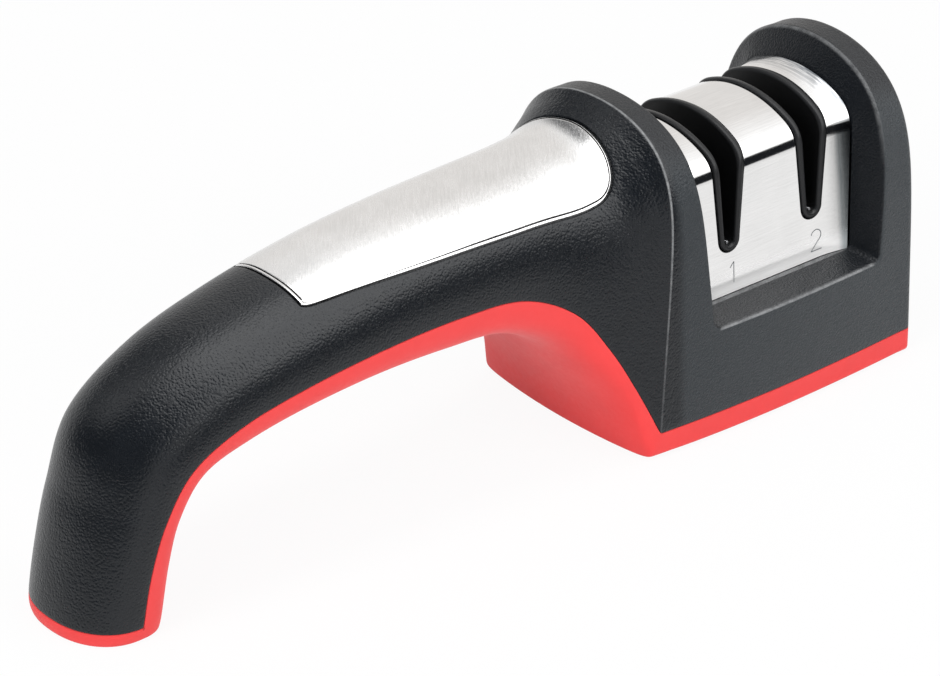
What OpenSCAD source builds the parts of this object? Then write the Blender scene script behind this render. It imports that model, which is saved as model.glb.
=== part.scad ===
// Two-stage pull-through sharpener with a bow handle.
// Millimetres. X runs from the heel of the handle to the rear of the head, Y across, Z up.
// The origin is on the table, under the middle of the object's box.

/* [Head] */
// Height of the front hoop's crown
front_crown = 69.5; // [66:0.5:73]
// Height of the rear hoop's crown
rear_crown = 66; // [64:0.5:68]
// Half width of the head at its widest
head_half_w = 27.4; // [26.5:0.1:29]
// Rear end of the head
head_rear = 102; // [101:0.5:103]
// Height of the base band's top, where black meets red
band_top = 5.5; // [4.5:0.5:7]
// Gap under the head's rim, where the pad stands proud
rim_lift = 0.2; // [0.1:0.1:0.6]
// Wall thickness of the moulded shells
wall = 2.4; // [1.8:0.1:3]

/* [Saddle] */
// Height of the steel saddle's crown
saddle_crown = 59.2; // [58.6:0.1:60]
// Radius of the saddle's shallow arch
saddle_arch_r = 27; // [26:0.5:30]
// Radius of the bend between arch and side
saddle_bend_r = 4.5; // [3.5:0.5:5]
// Distance of the bend's centre from the middle
saddle_bend_y = 10.9; // [10.5:0.1:11.5]
// Half width of the saddle at its lower edge
saddle_foot_y = 18; // [17.6:0.1:18.6]
// Height of the saddle's lower edge
saddle_foot_z = 25.6; // [25.4:0.1:26.4]
// Thickness of the steel sheet
sheet = 1; // [0.6:0.1:1.2]
// Rear edge of the saddle
saddle_rear = 91.6; // [91:0.1:91.8]
// How far the saddle curls out at its rear edge
saddle_curl = 0.9; // [0:0.1:1]

/* [Slots] */
// Place of the coarse slot along the head
coarse_x = 57.4; // [57:0.1:57.8]
// Distance between the two slots
slot_pitch = 22.9; // [22.6:0.1:23.1]
// How far a slot leans back for each unit of height
slot_lean = 0.05; // [0:0.01:0.08]
// Outer radius of a slot rim's rounded foot
rim_r = 2.65; // [2.5:0.05:2.9]
// Height of the centre of a slot's rounded foot
slot_foot_z = 37.5; // [37.2:0.1:38]
// Half width of a slot rim at the saddle's crown
rim_top_half = 4.8; // [4.6:0.1:5]
// Radius of the rounded foot of the slot itself
slot_r = 1.3; // [1.2:0.05:1.4]
// Half width of the slot itself at the crown
slot_top_half = 3; // [2.9:0.1:3.2]
// How far a slot rim stands above the steel
rim_proud = 0.5; // [0.3:0.1:0.8]

/* [Wheels] */
// Radius of a sharpening wheel
disc_r = 5.5; // [5.4:0.05:5.6]
// Thickness of a sharpening wheel
disc_t = 2; // [1.6:0.1:2.2]
// Distance of each axle pin from the middle of its slot
pin_x = 5.17; // [5.1:0.01:5.3]
// Height of the axle pins
pin_z = 36.7; // [36.5:0.1:37]
// Radius of an axle pin
pin_r = 1.5; // [1.2:0.05:1.6]
// Clearance between a pin and the wheel that turns on it
run_gap = 0.05; // [0.02:0.01:0.1]
// Distance between neighbouring wheels along the slot
disc_step = 2.3; // [2.2:0.05:2.5]

/* [Hidden] */
$fn = 48;

fine_x = coarse_x + slot_pitch;
front_w = 26;
rear_w = 26.2;
head_lean = 0.06;

// Stations of the bow handle, from the foot to the crease of the front hoop. Each row holds
// the outer edge x, z; the widest line x, z; the inner edge x, z; the half width;
// the roundness across and along of the outer half; the roundness of the inner half;
// the bow of the inner half seen from above.
HANDLE = [
    [-101.8, 0, -90.7, 0, -82.1, 0, 14.1, 2.2, 2.2, 2.8, 0],
    [-102, 3, -90.4, 3, -81.8, 3, 14.8, 2.2, 2.2, 2.8, 0],
    [-100, 12.8, -88.4, 13.3, -79.8, 14.1, 15.1, 2.2, 2.2, 2.8, 0],
    [-96.6, 25.7, -84.7, 23.7, -77.3, 22.7, 15.4, 2.2, 2.2, 2.8, 0],
    [-90.8, 40.7, -78.2, 33.1, -72, 29.2, 15.8, 2.2, 2.2, 2.8, 0],
    [-74.8, 51.1, -66.6, 38.7, -62.1, 31.6, 16.2, 2.3, 2.3, 2.8, 0],
    [-55.1, 56.7, -51.1, 41.9, -49.9, 33.9, 16.7, 2.45, 2.4, 3, 0],
    [-33.8, 60.5, -32.5, 43.8, -32.5, 35, 17.1, 2.5, 2.4, 3, 0],
    [-14.3, 62.3, -14.3, 44.2, -15.5, 34.4, 17.3, 2.5, 2.45, 3, 0],
    [5.8, 62.9, 1.7, 42.9, -1.5, 33.1, 18, 2.5, 2.6, 3, 0.3],
    [19.5, 63.6, 14, 36.3, 10.2, 27.3, 19.6, 2.4, 3, 3, 0.8],
    [27.3, 64.3, 21.5, 26.2, 18.1, 18.2, 21.8, 2.2, 4.5, 3.4, 1.5],
    [33.1, 67.2, 27, 15.5, 23.7, 8.6, 24.1, 2.1, 6.5, 4.8, 1.9],
    [36.7, front_crown, 31.5, band_top, 26.5, rim_lift, front_w, 2.1, 8, 14, 2.2]
];
// Stations of the head behind the crease, in the same columns.
HEAD = [
    [36.7, front_crown, 31.5, band_top, 26.5, rim_lift, front_w, 2.1, 8, 14, 2.2],
    [49, front_crown - 0.6, 45, band_top, 45, rim_lift, head_half_w - 0.5, 2.1, 7.7, 24, 0],
    [64.5, (front_crown + rear_crown) / 2, 63.5, band_top, 63.5, rim_lift, head_half_w, 2.1, 7.3, 24, 0],
    [82.5, rear_crown + 0.7, 82.5, band_top, 82.5, rim_lift, head_half_w - 0.4, 2, 6.8, 24, 0],
    [head_rear - 4, rear_crown, head_rear - 4, band_top, head_rear - 4, rim_lift, rear_w, 2, 6.5, 24, 0]
];
// Rounding of the rear face: distance from the face and how far the outline has drawn in.
REAR_EDGE = [[1.1, 0.25], [0.3, 0.8], [0, 1.6]];
// Outline of the steel inlay on the handle: station and half width.
INLAY = [
    [6.33, 10.4], [6.42, 11.2], [6.75, 12.2], [7.2, 13.2], [7.7, 13.9], [8.64, 14.8], [9.46, 15.5],
    [10.23, 16.4], [10.75, 16.6], [11.1, 15.4], [11.33, 12.4], [11.47, 8.4], [11.55, 4.6], [11.59, 1.6]
];
inlay_gap = 0.2;
inlay_sheet = 0.9;
inlay_proud = 0.1;
inlay_cut = 2;

// Side view of the pocket's front edge: its foot, a middle point and its top.
pocket_front_low = 45.5;
pocket_front_mid = 43;
pocket_front_high = 42.2;
pocket_low_z = 24.2;
pocket_mid_z = 50;
pocket_top_z = 66;
pocket_corner_r = 2.4;
hoop_front_x = 94;
hoop_front_z = 51.2;
hoop_tilt = 4.6;
curl_length = 3.4;
sill_outer_y = 28;
sill_under_z = 20.8;
chamber_half_y = 12.2;
chamber_top_z = 51;
chamber_front_x = 40;
chamber_rear_x = 96;

block_half_y = 9;
block_half_x = 12.6;
block_foot_z = pin_z - 9.6;
block_top_z = pin_z + 7.9;
disc_room = 0.35;
disc_end_room = 0.3;
wheel_half_y = 1.5 * disc_step + disc_t / 2 + disc_end_room;
cover_t = 1.5;
shelf_t = 3;
shelf_top_z = block_foot_z - cover_t;
spacer_r = 2.6;
side_gap = 0.1;
fit_gap = 0.2;
pin_seat = 0.02;

screw_y = 7;
end_screw_x = 9.6;
CASSETTE_SCREWS = [
    for (x = [coarse_x - end_screw_x, fine_x + end_screw_x]) for (y = [-screw_y, screw_y]) [x, y]
];
COVER_SCREWS = [for (y = [-screw_y, screw_y]) [(coarse_x + fine_x) / 2, y]];
base_screw_y = head_half_w - 8.9;
base_screw_inset = 10.5;
BASE_SCREWS = [
    for (x = [chamber_front_x - 2.5, head_rear - base_screw_inset])
        for (y = [-base_screw_y, base_screw_y]) [x, y]
];
screw_r = 1.25;
screw_hole_r = 1.45;
thread_room = 0.02;
screw_head_r = 2.4;
screw_head_t = 1.5;
boss_r = 3.4;
base_plate_z = 1.2;
base_plate_t = 2.4;
head_sink = screw_head_t + 0.05;
base_screw_length = 11;
shelf_lap = 6.5;
shelf_bite = 0.5;

shell_black = [0.07, 0.08, 0.09];
shell_red = [0.85, 0.16, 0.15];
steel = [0.82, 0.83, 0.84];

// ---- Curves -----------------------------------------------------------------------------

// Smooth row between the rows of a table, at place t counted in rows.
function row_at(table, t) =
    let (
        last = len(table) - 1,
        i = min(floor(t), last - 1),
        f = t - i,
        before = table[max(i - 1, 0)],
        here = table[i],
        next = table[i + 1],
        after = table[min(i + 2, last)]
    )
    0.5 * (2 * here + (next - before) * f
        + (2 * before - 5 * here + 4 * next - after) * f * f
        + (3 * here - before - 3 * next + after) * f * f * f);

// Half of a section: a superellipse arc from one side over the edge to the other side.
// depth draws it in by the wall, a0 and a1 are the arc's limits in degrees.
function half_section(row, outer, depth, a0, a1, steps) =
    let (
        edge = outer ? [row[0], row[1]] : [row[4], row[5]],
        side = [row[2], row[3]],
        reach = norm(edge - side),
        tip = side + (edge - side) * (1 - depth / reach),
        across = 2 / (outer ? row[7] : row[9]),
        along = 2 / (outer ? row[8] : row[9]),
        bow = outer ? 0 : row[10],
        half_w = row[6] - depth
    )
    [for (k = [0:steps])
        let (
            a = a0 + (a1 - a0) * k / steps,
            u = sign(cos(a)) * pow(abs(cos(a)), across),
            v = pow(max(sin(a), 0), along)
        )
        [
            side[0] + (tip[0] - side[0]) * v + bow * u * u * v,
            -half_w * u * (1 - (outer ? lean(row) : 0) * v),
            side[1] + (tip[1] - side[1]) * v
        ]
    ];

// The head's walls lean in towards the crown; the handle's do not.
function lean(row) = head_lean * min(max((row[0] - 4.5) / 30, 0), 1);

function reversed(list) = [for (i = [len(list) - 1:-1:0]) list[i]];

// A row moved to another place along the head and drawn in by a distance.
function drawn_in(row, x, d) = [
    x, row[1] - d, x, row[3], x, row[5], row[6] - d, row[7], row[8], row[9], 0
];

handle_steps = 39;
// Number of rows up to the top of the red foot.
foot_rows = 3;
handle_rows = [for (k = [0:handle_steps]) row_at(HANDLE, 13 * k / handle_steps)];
head_rows = concat(
    [for (k = [1:8]) row_at(HEAD, k / 2)],
    [for (e = REAR_EDGE) drawn_in(HEAD[4], head_rear - e[0], e[1])]
);
all_rows = concat(handle_rows, head_rows);

// ---- Solids from sections ---------------------------------------------------------------

// Faces between neighbouring rings of n points, for m rings.
function side_faces(n, m) =
    [for (j = [0:m - 2]) for (i = [0:n - 1])
        let (a = j * n + i, b = j * n + (i + 1) % n) each [[a, b, b + n], [a, b + n, a + n]]];

// Closed solid through a list of rings that all have the same number of points.
module skin(rings) {
    n = len(rings[0]);
    m = len(rings);
    body_points = [for (ring = rings) for (p = ring) p];
    first_mid = [for (p = rings[0]) 1] * rings[0] / n;
    last_mid = [for (p = rings[m - 1]) 1] * rings[m - 1] / n;
    points = concat(body_points, [first_mid, last_mid]);
    first_cap = [for (i = [0:n - 1]) [(i + 1) % n, i, n * m]];
    last_cap = [for (i = [0:n - 1]) [(m - 1) * n + i, (m - 1) * n + (i + 1) % n, n * m + 1]];
    polyhedron(points, concat(side_faces(n, m), first_cap, last_cap));
}

// Closed sheet through rings that run along its outer face and back along its inner face.
module sheet_skin(rings) {
    n = len(rings[0]);
    m = len(rings);
    points = [for (ring = rings) for (p = ring) p];
    first_cap = [for (i = [0:n / 2 - 2])
        each [[i + 1, i, n - 1 - i], [i + 1, n - 1 - i, n - 2 - i]]];
    last_cap = [for (f = first_cap) [f[0] + n * (m - 1), f[2] + n * (m - 1), f[1] + n * (m - 1)]];
    polyhedron(points, concat(side_faces(n, m), first_cap, last_cap));
}

// Outline of the steel saddle across the head, drawn in by d.
function saddle_side(d) =
    let (
        arch_z = saddle_crown - saddle_arch_r,
        bend_reach = saddle_arch_r - saddle_bend_r,
        bend_z = arch_z + sqrt(bend_reach * bend_reach - saddle_bend_y * saddle_bend_y),
        turn = acos(saddle_bend_y / bend_reach),
        flare = atan((saddle_foot_y - saddle_bend_y - saddle_bend_r) / (bend_z - saddle_foot_z))
    )
    concat(
        [[saddle_foot_y - d, saddle_foot_z]],
        [for (k = [0:5]) let (a = flare + (turn - flare) * k / 5)
            [saddle_bend_y + (saddle_bend_r - d) * cos(a), bend_z + (saddle_bend_r - d) * sin(a)]],
        [for (k = [1:6]) let (a = turn + (90 - turn) * k / 6)
            [(saddle_arch_r - d) * cos(a), arch_z + (saddle_arch_r - d) * sin(a)]]
    );

// The whole outline of the saddle, from side to side.
function saddle_arch(d) =
    let (half = saddle_side(d))
    concat(half, [for (p = reversed(half)) if (p[0] > 0.01) [-p[0], p[1]]]);

// Solid under the saddle's outline between two places along the head.
module saddle_solid(d, x0, x1, z0) {
    arch = saddle_arch(d);
    foot_y = arch[0][0];
    outline = concat([[foot_y, z0]], arch, [[-foot_y, z0]]);
    translate([x0, 0, 0])
        rotate([90, 0, 90])
            linear_extrude(x1 - x0)
                polygon(outline);
}

// Side view of a slot or of its rim: round foot and straight flaring sides, through the head.
module slot_prism(x, r, top_half, half_y, top_z) {
    height = top_z - slot_foot_z;
    rise = height * (top_half - r) / (saddle_crown - slot_foot_z);
    shift = height * slot_lean;
    arc = [for (k = [0:12]) let (a = 180 + 180 * k / 12)
        [x + r * cos(a), slot_foot_z + r * sin(a)]];
    translate([0, half_y, 0])
        rotate([90, 0, 0])
            linear_extrude(2 * half_y)
                polygon(concat([[x - r - rise + shift, top_z]], arc, [[x + r + rise + shift, top_z]]));
}

// Side view of the room above the saddle, behind the front hoop, up to a rear limit. The
// margin draws the front edge back, and foot_r rounds its lower corner.
module pocket_prism(margin, half_y, foot_z, rear_x, foot_r) {
    low_x = pocket_front_low + margin;
    corner = [for (k = [0:6]) let (a = 180 + 15 * k)
        [low_x + foot_r + foot_r * cos(a), foot_z + foot_r + foot_r * sin(a)]];
    translate([0, half_y, 0])
        rotate([90, 0, 0])
            linear_extrude(2 * half_y)
                polygon(concat(
                    corner,
                    [
                        [rear_x, foot_z],
                        [rear_x, pocket_top_z + 8],
                        [pocket_front_high + margin, pocket_top_z + 8],
                        [pocket_front_high + margin, pocket_top_z],
                        [pocket_front_mid + margin, pocket_mid_z]
                    ]
                ));
}

// What stays standing behind the pocket: it flares from the saddle's rear edge out to the
// front edge of the rear hoop.
module rear_flare() {
    thin = 0.02;
    hoop_depth = 12;
    hull() {
        saddle_solid(-saddle_curl, saddle_rear + fit_gap, saddle_rear + fit_gap + thin, pocket_low_z);
        hoop_slab(thin);
    }
    hoop_slab(hoop_depth);
}

// Slab from the rear hoop's front edge backwards, above the pocket's foot.
module hoop_slab(depth) {
    over = 0.8;
    arch = half_section(row_at(HEAD, 3.6), true, -over, 0, 180, 24);
    translate([hoop_front_x, 0, hoop_front_z])
        rotate([0, hoop_tilt, 0])
            translate([0, 0, -hoop_front_z])
                rotate([90, 0, 90])
                    linear_extrude(depth)
                        intersection() {
                            polygon([for (p = arch) [p[1], p[2]]]);
                            translate([-sill_outer_y - over, pocket_low_z])
                                square([2 * (sill_outer_y + over), rear_crown]);
                        }
}

// Sill under the pocket, sloping down and out from the saddle's lower edge.
module sill() {
    translate([pocket_front_high - 6, 0, 0])
        rotate([90, 0, 90])
            linear_extrude(70)
                polygon([
                    [-sill_outer_y, 0],
                    [sill_outer_y, 0],
                    [sill_outer_y, pocket_low_z],
                    [saddle_foot_y, saddle_foot_z],
                    [-saddle_foot_y, saddle_foot_z],
                    [-sill_outer_y, pocket_low_z]
                ]);
}

// Everything that is cut away above the saddle's seat.
module pocket() {
    difference() {
        pocket_prism(0, 40, pocket_low_z, head_rear + 1, pocket_corner_r);
        saddle_solid(sheet, pocket_front_high - 4, saddle_rear + 4, 0);
        sill();
        rear_flare();
    }
}

// Inner surface of the handle's shells.
module handle_hollow() {
    rings = [for (k = [foot_rows:handle_steps])
        concat(
            half_section(handle_rows[k], true, wall, 3, 177, 16),
            half_section(handle_rows[k], false, wall, 177, 3, 8)
        )];
    skin(rings);
}

// Inner surface of the head's shell, up to the sill.
module head_hollow() {
    rows = [for (r = head_rows) if (r[0] < head_rear - 3.5) r];
    rings = [for (r = rows)
        concat(
            half_section(r, true, wall, 3, 177, 16),
            [for (y = [r[6] - wall, wall - r[6]]) [r[2], y, -1]]
        )];
    intersection() {
        skin(rings);
        translate([0, -40, -2])
            cube([120, 80, sill_under_z + 2]);
    }
    translate([chamber_front_x, -chamber_half_y, 0])
        cube([chamber_rear_x - chamber_front_x, 2 * chamber_half_y, chamber_top_z]);
}

// Screw post: a tapered column with a small foot.
module post(x, y, z0, z1, r) {
    hull() {
        translate([x, y, z0])
            cylinder(r = r, h = 0.5, $fn = 32);
        translate([x, y, z1 - 0.5])
            cylinder(r = r + 0.6, h = 0.5, $fn = 32);
    }
}

// Surface patch under or over the handle's steel inlay, between two depths.
module inlay_patch(gap, top_depth, low_depth) {
    steps = 26;
    last = len(INLAY) - 1;
    rings = [for (k = [0:steps])
        let (
            c = row_at(INLAY, last * k / steps),
            row = row_at(HANDLE, c[0]),
            lim = acos(pow(min((c[1] + gap) / row[6], 0.98), row[7] / 2))
        )
        concat(
            half_section(row, true, top_depth, lim, 180 - lim, 10),
            half_section(row, true, low_depth, 180 - lim, lim, 10)
        )];
    sheet_skin(rings);
}

// ---- Housing and its covers -------------------------------------------------------------

// Black moulded shell: back of the bow handle, both hoops, the pocket and the saddle's seat.
module housing() {
    color(shell_black)
        difference() {
            union() {
                difference() {
                    skin([for (k = [foot_rows:len(all_rows) - 1])
                        let (r = all_rows[k])
                        concat(half_section(r, true, 0, 0, 180, 24), [[r[2], 0, r[3]]])]);
                    handle_hollow();
                    head_hollow();
                    pocket();
                }
                housing_ribs();
            }
            inlay_patch(inlay_gap, -inlay_cut, inlay_sheet + side_gap);
            cassette_well();
            for (s = CASSETTE_SCREWS)
                translate([s[0], s[1], shelf_top_z - shelf_t - 1])
                    cylinder(r = screw_hole_r, h = shelf_t + 2);
            for (s = BASE_SCREWS)
                translate([s[0], s[1], 0])
                    cylinder(r = screw_r + thread_room, h = 14);
        }
}

// Shelves under the cassette, screw posts and the cross ribs of the handle.
module housing_ribs() {
    for (span = [
        [chamber_front_x - shelf_bite, coarse_x - block_half_x + shelf_lap],
        [fine_x + block_half_x - shelf_lap, chamber_rear_x + shelf_bite]
    ])
        translate([span[0], -chamber_half_y - shelf_bite, shelf_top_z - shelf_t])
            cube([span[1] - span[0], 2 * (chamber_half_y + shelf_bite), shelf_t]);
    for (s = BASE_SCREWS)
        post(s[0], s[1], base_plate_z + base_plate_t, sill_under_z + 1, boss_r);
    intersection() {
        for (x = [-60.3, -45.7, -30.4, -15.2, 0.7])
            hull() {
                translate([x, -20, 45])
                    cube([1.6, 40, 0.5]);
                translate([x, -20, 64.5])
                    cube([1.2, 40, 0.5]);
            }
        skin([for (r = handle_rows)
            concat(half_section(r, true, wall - 0.4, 0, 180, 12), [[r[2], 0, r[3]]])]);
    }
}

// Openings in the saddle's seat for the cassette and its two slot rims.
module cassette_well() {
    translate([coarse_x - block_half_x - fit_gap, -block_half_y - fit_gap, shelf_top_z])
        cube([
            slot_pitch + 2 * (block_half_x + fit_gap),
            2 * (block_half_y + fit_gap),
            saddle_crown
        ]);
    for (x = [coarse_x, fine_x])
        slot_prism(x, rim_r + fit_gap, rim_top_half + fit_gap, saddle_foot_y + 1, 64);
}

// Red shell: strip under the handle, heel foot, concave front wall and base band.
module underside() {
    color(shell_red)
        union() {
            difference() {
                union() {
                    skin([for (r = all_rows)
                        concat(
                            reversed(half_section(r, false, 0, 1.5, 178.5, 16)),
                            [for (k = [-1:1]) seam_point(r, k, side_gap)]
                        )]);
                    foot();
                }
                handle_hollow();
                base_hollow();
            }
            underside_ribs();
        }
}

// Point on the parting face between the shells, a gap below it; k runs from side to side.
function seam_point(row, k, gap) =
    let (
        down = [row[4], row[5]] - [row[2], row[3]],
        at = [row[2], row[3]] + down * gap / norm(down)
    )
    [at[0], row[6] * k * 0.999, at[1]];

// Room inside the base band.
module base_hollow() {
    translate([0, 0, -1])
        linear_extrude(band_top + 3)
            polygon(base_outline(wall));
}

// Plan view of the base band, drawn in by d.
function base_outline(d) =
    let (
        front_x = 27.7,
        half = [for (k = [0:10])
            let (
                x = 29.5 + d * 0.4 + (head_rear - 32.5 - 1.4 * d) * k / 10,
                t = (x - HEAD[2][2]) / 35,
                draw = head_half_w - (t < 0 ? front_w : rear_w)
            )
            [x, head_half_w - draw * t * t - d]]
    )
    concat(
        [[front_x + d, 0]],
        half,
        [[head_rear - d, rear_w - 3 - d]],
        [[head_rear - d, 3 + d - rear_w]],
        [for (p = reversed(half)) [p[0], -p[1]]]
    );

// Foot at the end of the handle, all round.
module foot() {
    skin([for (k = [0:foot_rows])
        let (
            r = handle_rows[k],
            top = handle_rows[foot_rows][1],
            z = r[1] * (top - side_gap) / top,
            flat_row = [r[0], z, r[2], z, r[4], z, r[6], r[7], r[8], r[9], 0]
        )
        concat(
            half_section(flat_row, true, 0, 0, 180, 24),
            half_section(flat_row, false, 0, 176, 4, 14)
        )]);
}

// Cross ribs that hold the handle's strip in shape.
module underside_ribs() {
    intersection() {
        for (x = [-66.3, -56.4, -46.2, -36.3, -26.4, -16.2, -6.3, 3.7])
            hull() {
                translate([x, -20, 30])
                    cube([1.6, 40, 0.5]);
                translate([x, -20, 39.5])
                    cube([1.2, 40, 0.5]);
            }
        skin([for (r = handle_rows)
            concat(
                reversed(half_section(r, false, wall - 0.4, 2, 178, 12)),
                [[r[2], 0, r[3] - 1]]
            )]);
    }
}

// Steel inlay along the back of the handle.
module handle_plate() {
    color(steel)
        inlay_patch(0, -inlay_proud, inlay_sheet);
}

// Bent steel sheet over the head, with an opening for each slot rim and a curled rear edge.
module saddle_plate() {
    steps = 5;
    places = concat([pocket_front_high - 1], [for (k = [0:steps])
        saddle_rear - curl_length * (1 - k / steps)]);
    color(steel)
        difference() {
            intersection() {
                sheet_skin([for (x = reversed(places))
                    let (
                        t = max(0, 1 - (saddle_rear - x) / curl_length),
                        rise = saddle_curl * t * t
                    )
                    concat(
                        [for (p = saddle_arch(-rise)) [x, p[0], p[1]]],
                        [for (p = reversed(saddle_arch(sheet - rise))) [x, p[0], p[1]]]
                    )]);
                pocket_prism(fit_gap, saddle_foot_y + 3, saddle_foot_z - 1, saddle_rear + 2, 0.5);
            }
            for (x = [coarse_x, fine_x])
                slot_prism(x, rim_r + side_gap, rim_top_half + side_gap, saddle_foot_y + 1, 64);
        }
}

// ---- Cassette ---------------------------------------------------------------------------

// Black slot block with the raised rims; it holds the four axle pins.
module cassette() {
    color(shell_black)
        difference() {
            union() {
                translate([coarse_x - block_half_x, -block_half_y, block_foot_z])
                    cube([
                        slot_pitch + 2 * block_half_x,
                        2 * block_half_y,
                        block_top_z - block_foot_z
                    ]);
                intersection() {
                    saddle_solid(-rim_proud, pocket_front_low, saddle_rear, block_foot_z);
                    union() {
                        for (x = [coarse_x, fine_x])
                            slot_prism(x, rim_r, rim_top_half, saddle_foot_y + 2, 64);
                    }
                }
            }
            for (x = [coarse_x, fine_x]) {
                slot_prism(x, slot_r, slot_top_half, saddle_foot_y + 3, 66);
                wheel_room(x);
                for (side = [-1, 1])
                    translate([x + side * pin_x, block_half_y + 1, pin_z])
                        rotate([90, 0, 0])
                            cylinder(r = pin_r + pin_seat, h = 2 * block_half_y + 2);
            }
            for (s = concat(CASSETTE_SCREWS, COVER_SCREWS))
                translate([s[0], s[1], block_foot_z - 1])
                    cylinder(r = screw_r + thread_room, h = 7);
        }
}

// Room for one set of wheels, open below.
module wheel_room(x) {
    r = disc_r + disc_room;
    translate([x - pin_x - r, -wheel_half_y, block_foot_z - 1])
        cube([2 * (pin_x + r), 2 * wheel_half_y, pin_z - block_foot_z + 1]);
    for (side = [-1, 1])
        translate([x + side * pin_x, wheel_half_y, pin_z])
            rotate([90, 0, 0])
                cylinder(r = r, h = 2 * wheel_half_y);
}

// Plate that closes the wheel rooms from below.
module cassette_cover() {
    color(shell_black)
        difference() {
            translate([coarse_x - block_half_x + 0.3, -block_half_y + 0.3, shelf_top_z])
                cube([
                    slot_pitch + 2 * block_half_x - 0.6,
                    2 * block_half_y - 0.6,
                    cover_t
                ]);
            for (s = concat(CASSETTE_SCREWS, COVER_SCREWS))
                translate([s[0], s[1], shelf_top_z - 1])
                    cylinder(r = screw_hole_r, h = cover_t + 2);
        }
}

// Axle pin across one wheel room.
module pin(x) {
    color(steel)
        translate([x, block_half_y - 0.3, pin_z])
            rotate([90, 0, 0])
                cylinder(r = pin_r, h = 2 * block_half_y - 0.6);
}

// Sharpening wheel number k of a slot; wheels alternate between the front and rear pin.
module disc(x, k, tint) {
    side = k % 2 == 1 ? -1 : 1;
    mid_y = (k - 2.5) * disc_step;
    color(tint)
        translate([x + side * pin_x, mid_y + disc_t / 2, pin_z])
            rotate([90, 0, 0])
                difference() {
                    cylinder(r = disc_r, h = disc_t);
                    translate([0, 0, -1])
                        cylinder(r = pin_r + run_gap, h = disc_t + 2);
                }
}

// Spacer number k of a slot; it keeps the wheels of one pin apart or off the end wall.
module spacer(x, k) {
    side = k < 3 ? -1 : 1;
    near = (k == 1 || k == 3);
    disc_face = disc_step * 1.5 - disc_t / 2;
    inner = near ? [-disc_face + side_gap / 2, disc_step * 0.5 - disc_t / 2 - side_gap / 2]
        : [disc_step * 0.5 + disc_t / 2 + side_gap / 2, wheel_half_y - side_gap / 2];
    y0 = side < 0 ? inner[0] : -inner[1];
    y1 = side < 0 ? inner[1] : -inner[0];
    color([0.55, 0.55, 0.57])
        translate([x + side * pin_x, y1, pin_z])
            rotate([90, 0, 0])
                difference() {
                    cylinder(r = spacer_r, h = y1 - y0);
                    translate([0, 0, -1])
                        cylinder(r = pin_r + run_gap, h = y1 - y0 + 2);
                }
}

// ---- Fasteners and base -----------------------------------------------------------------

// Pan-head screw that goes up from height z, with a cross recess in its head.
module screw(place, z, length) {
    recess = 0.8;
    color([0.6, 0.6, 0.62])
        translate([place[0], place[1], z])
            difference() {
                union() {
                    translate([0, 0, -screw_head_t])
                        cylinder(r = screw_head_r, h = screw_head_t);
                    cylinder(r = screw_r, h = length);
                }
                for (turn = [0, 90])
                    rotate([0, 0, turn])
                        translate([-1.3, -0.25, -screw_head_t - 1])
                            cube([2.6, 0.5, recess + 1]);
            }
}

// Plate that closes the head from below.
module base_plate() {
    color([0.12, 0.12, 0.13])
        difference() {
            translate([0, 0, base_plate_z])
                linear_extrude(base_plate_t)
                    polygon(base_outline(wall + fit_gap));
            for (s = BASE_SCREWS)
                translate([s[0], s[1], 0])
                    cylinder(r = screw_hole_r, h = 6);
            for (s = BASE_SCREWS)
                translate([s[0], s[1], 0])
                    cylinder(r = screw_head_r + side_gap, h = base_plate_z + head_sink);
        }
}

// Soft pad that the head stands on; it covers the base screws.
module base_pad() {
    color([0.2, 0.2, 0.21])
        linear_extrude(base_plate_z)
            polygon(base_outline(wall + 1));
}

housing();
underside();
handle_plate();
saddle_plate();
cassette();
cassette_cover();
pin(coarse_x - pin_x);  // coarse_pin_front
pin(coarse_x + pin_x);  // coarse_pin_rear
pin(fine_x - pin_x);  // fine_pin_front
pin(fine_x + pin_x);  // fine_pin_rear
disc(coarse_x, 1, [0.6, 0.61, 0.63]);  // coarse_disc_1
disc(coarse_x, 2, [0.6, 0.61, 0.63]);  // coarse_disc_2
disc(coarse_x, 3, [0.6, 0.61, 0.63]);  // coarse_disc_3
disc(coarse_x, 4, [0.6, 0.61, 0.63]);  // coarse_disc_4
disc(fine_x, 1, [0.93, 0.92, 0.88]);  // fine_disc_1
disc(fine_x, 2, [0.93, 0.92, 0.88]);  // fine_disc_2
disc(fine_x, 3, [0.93, 0.92, 0.88]);  // fine_disc_3
disc(fine_x, 4, [0.93, 0.92, 0.88]);  // fine_disc_4
spacer(coarse_x, 1);  // coarse_spacer_1
spacer(coarse_x, 2);  // coarse_spacer_2
spacer(coarse_x, 3);  // coarse_spacer_3
spacer(coarse_x, 4);  // coarse_spacer_4
spacer(fine_x, 1);  // fine_spacer_1
spacer(fine_x, 2);  // fine_spacer_2
spacer(fine_x, 3);  // fine_spacer_3
spacer(fine_x, 4);  // fine_spacer_4
screw(COVER_SCREWS[0], shelf_top_z, 6);  // cover_screw_left
screw(COVER_SCREWS[1], shelf_top_z, 6);  // cover_screw_right
screw(CASSETTE_SCREWS[0], shelf_top_z - shelf_t, 9);  // cassette_screw_1
screw(CASSETTE_SCREWS[1], shelf_top_z - shelf_t, 9);  // cassette_screw_2
screw(CASSETTE_SCREWS[2], shelf_top_z - shelf_t, 9);  // cassette_screw_3
screw(CASSETTE_SCREWS[3], shelf_top_z - shelf_t, 9);  // cassette_screw_4
base_plate();
screw(BASE_SCREWS[0], base_plate_z + head_sink, base_screw_length);  // base_screw_1
screw(BASE_SCREWS[1], base_plate_z + head_sink, base_screw_length);  // base_screw_2
screw(BASE_SCREWS[2], base_plate_z + head_sink, base_screw_length);  // base_screw_3
screw(BASE_SCREWS[3], base_plate_z + head_sink, base_screw_length);  // base_screw_4
base_pad();
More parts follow.
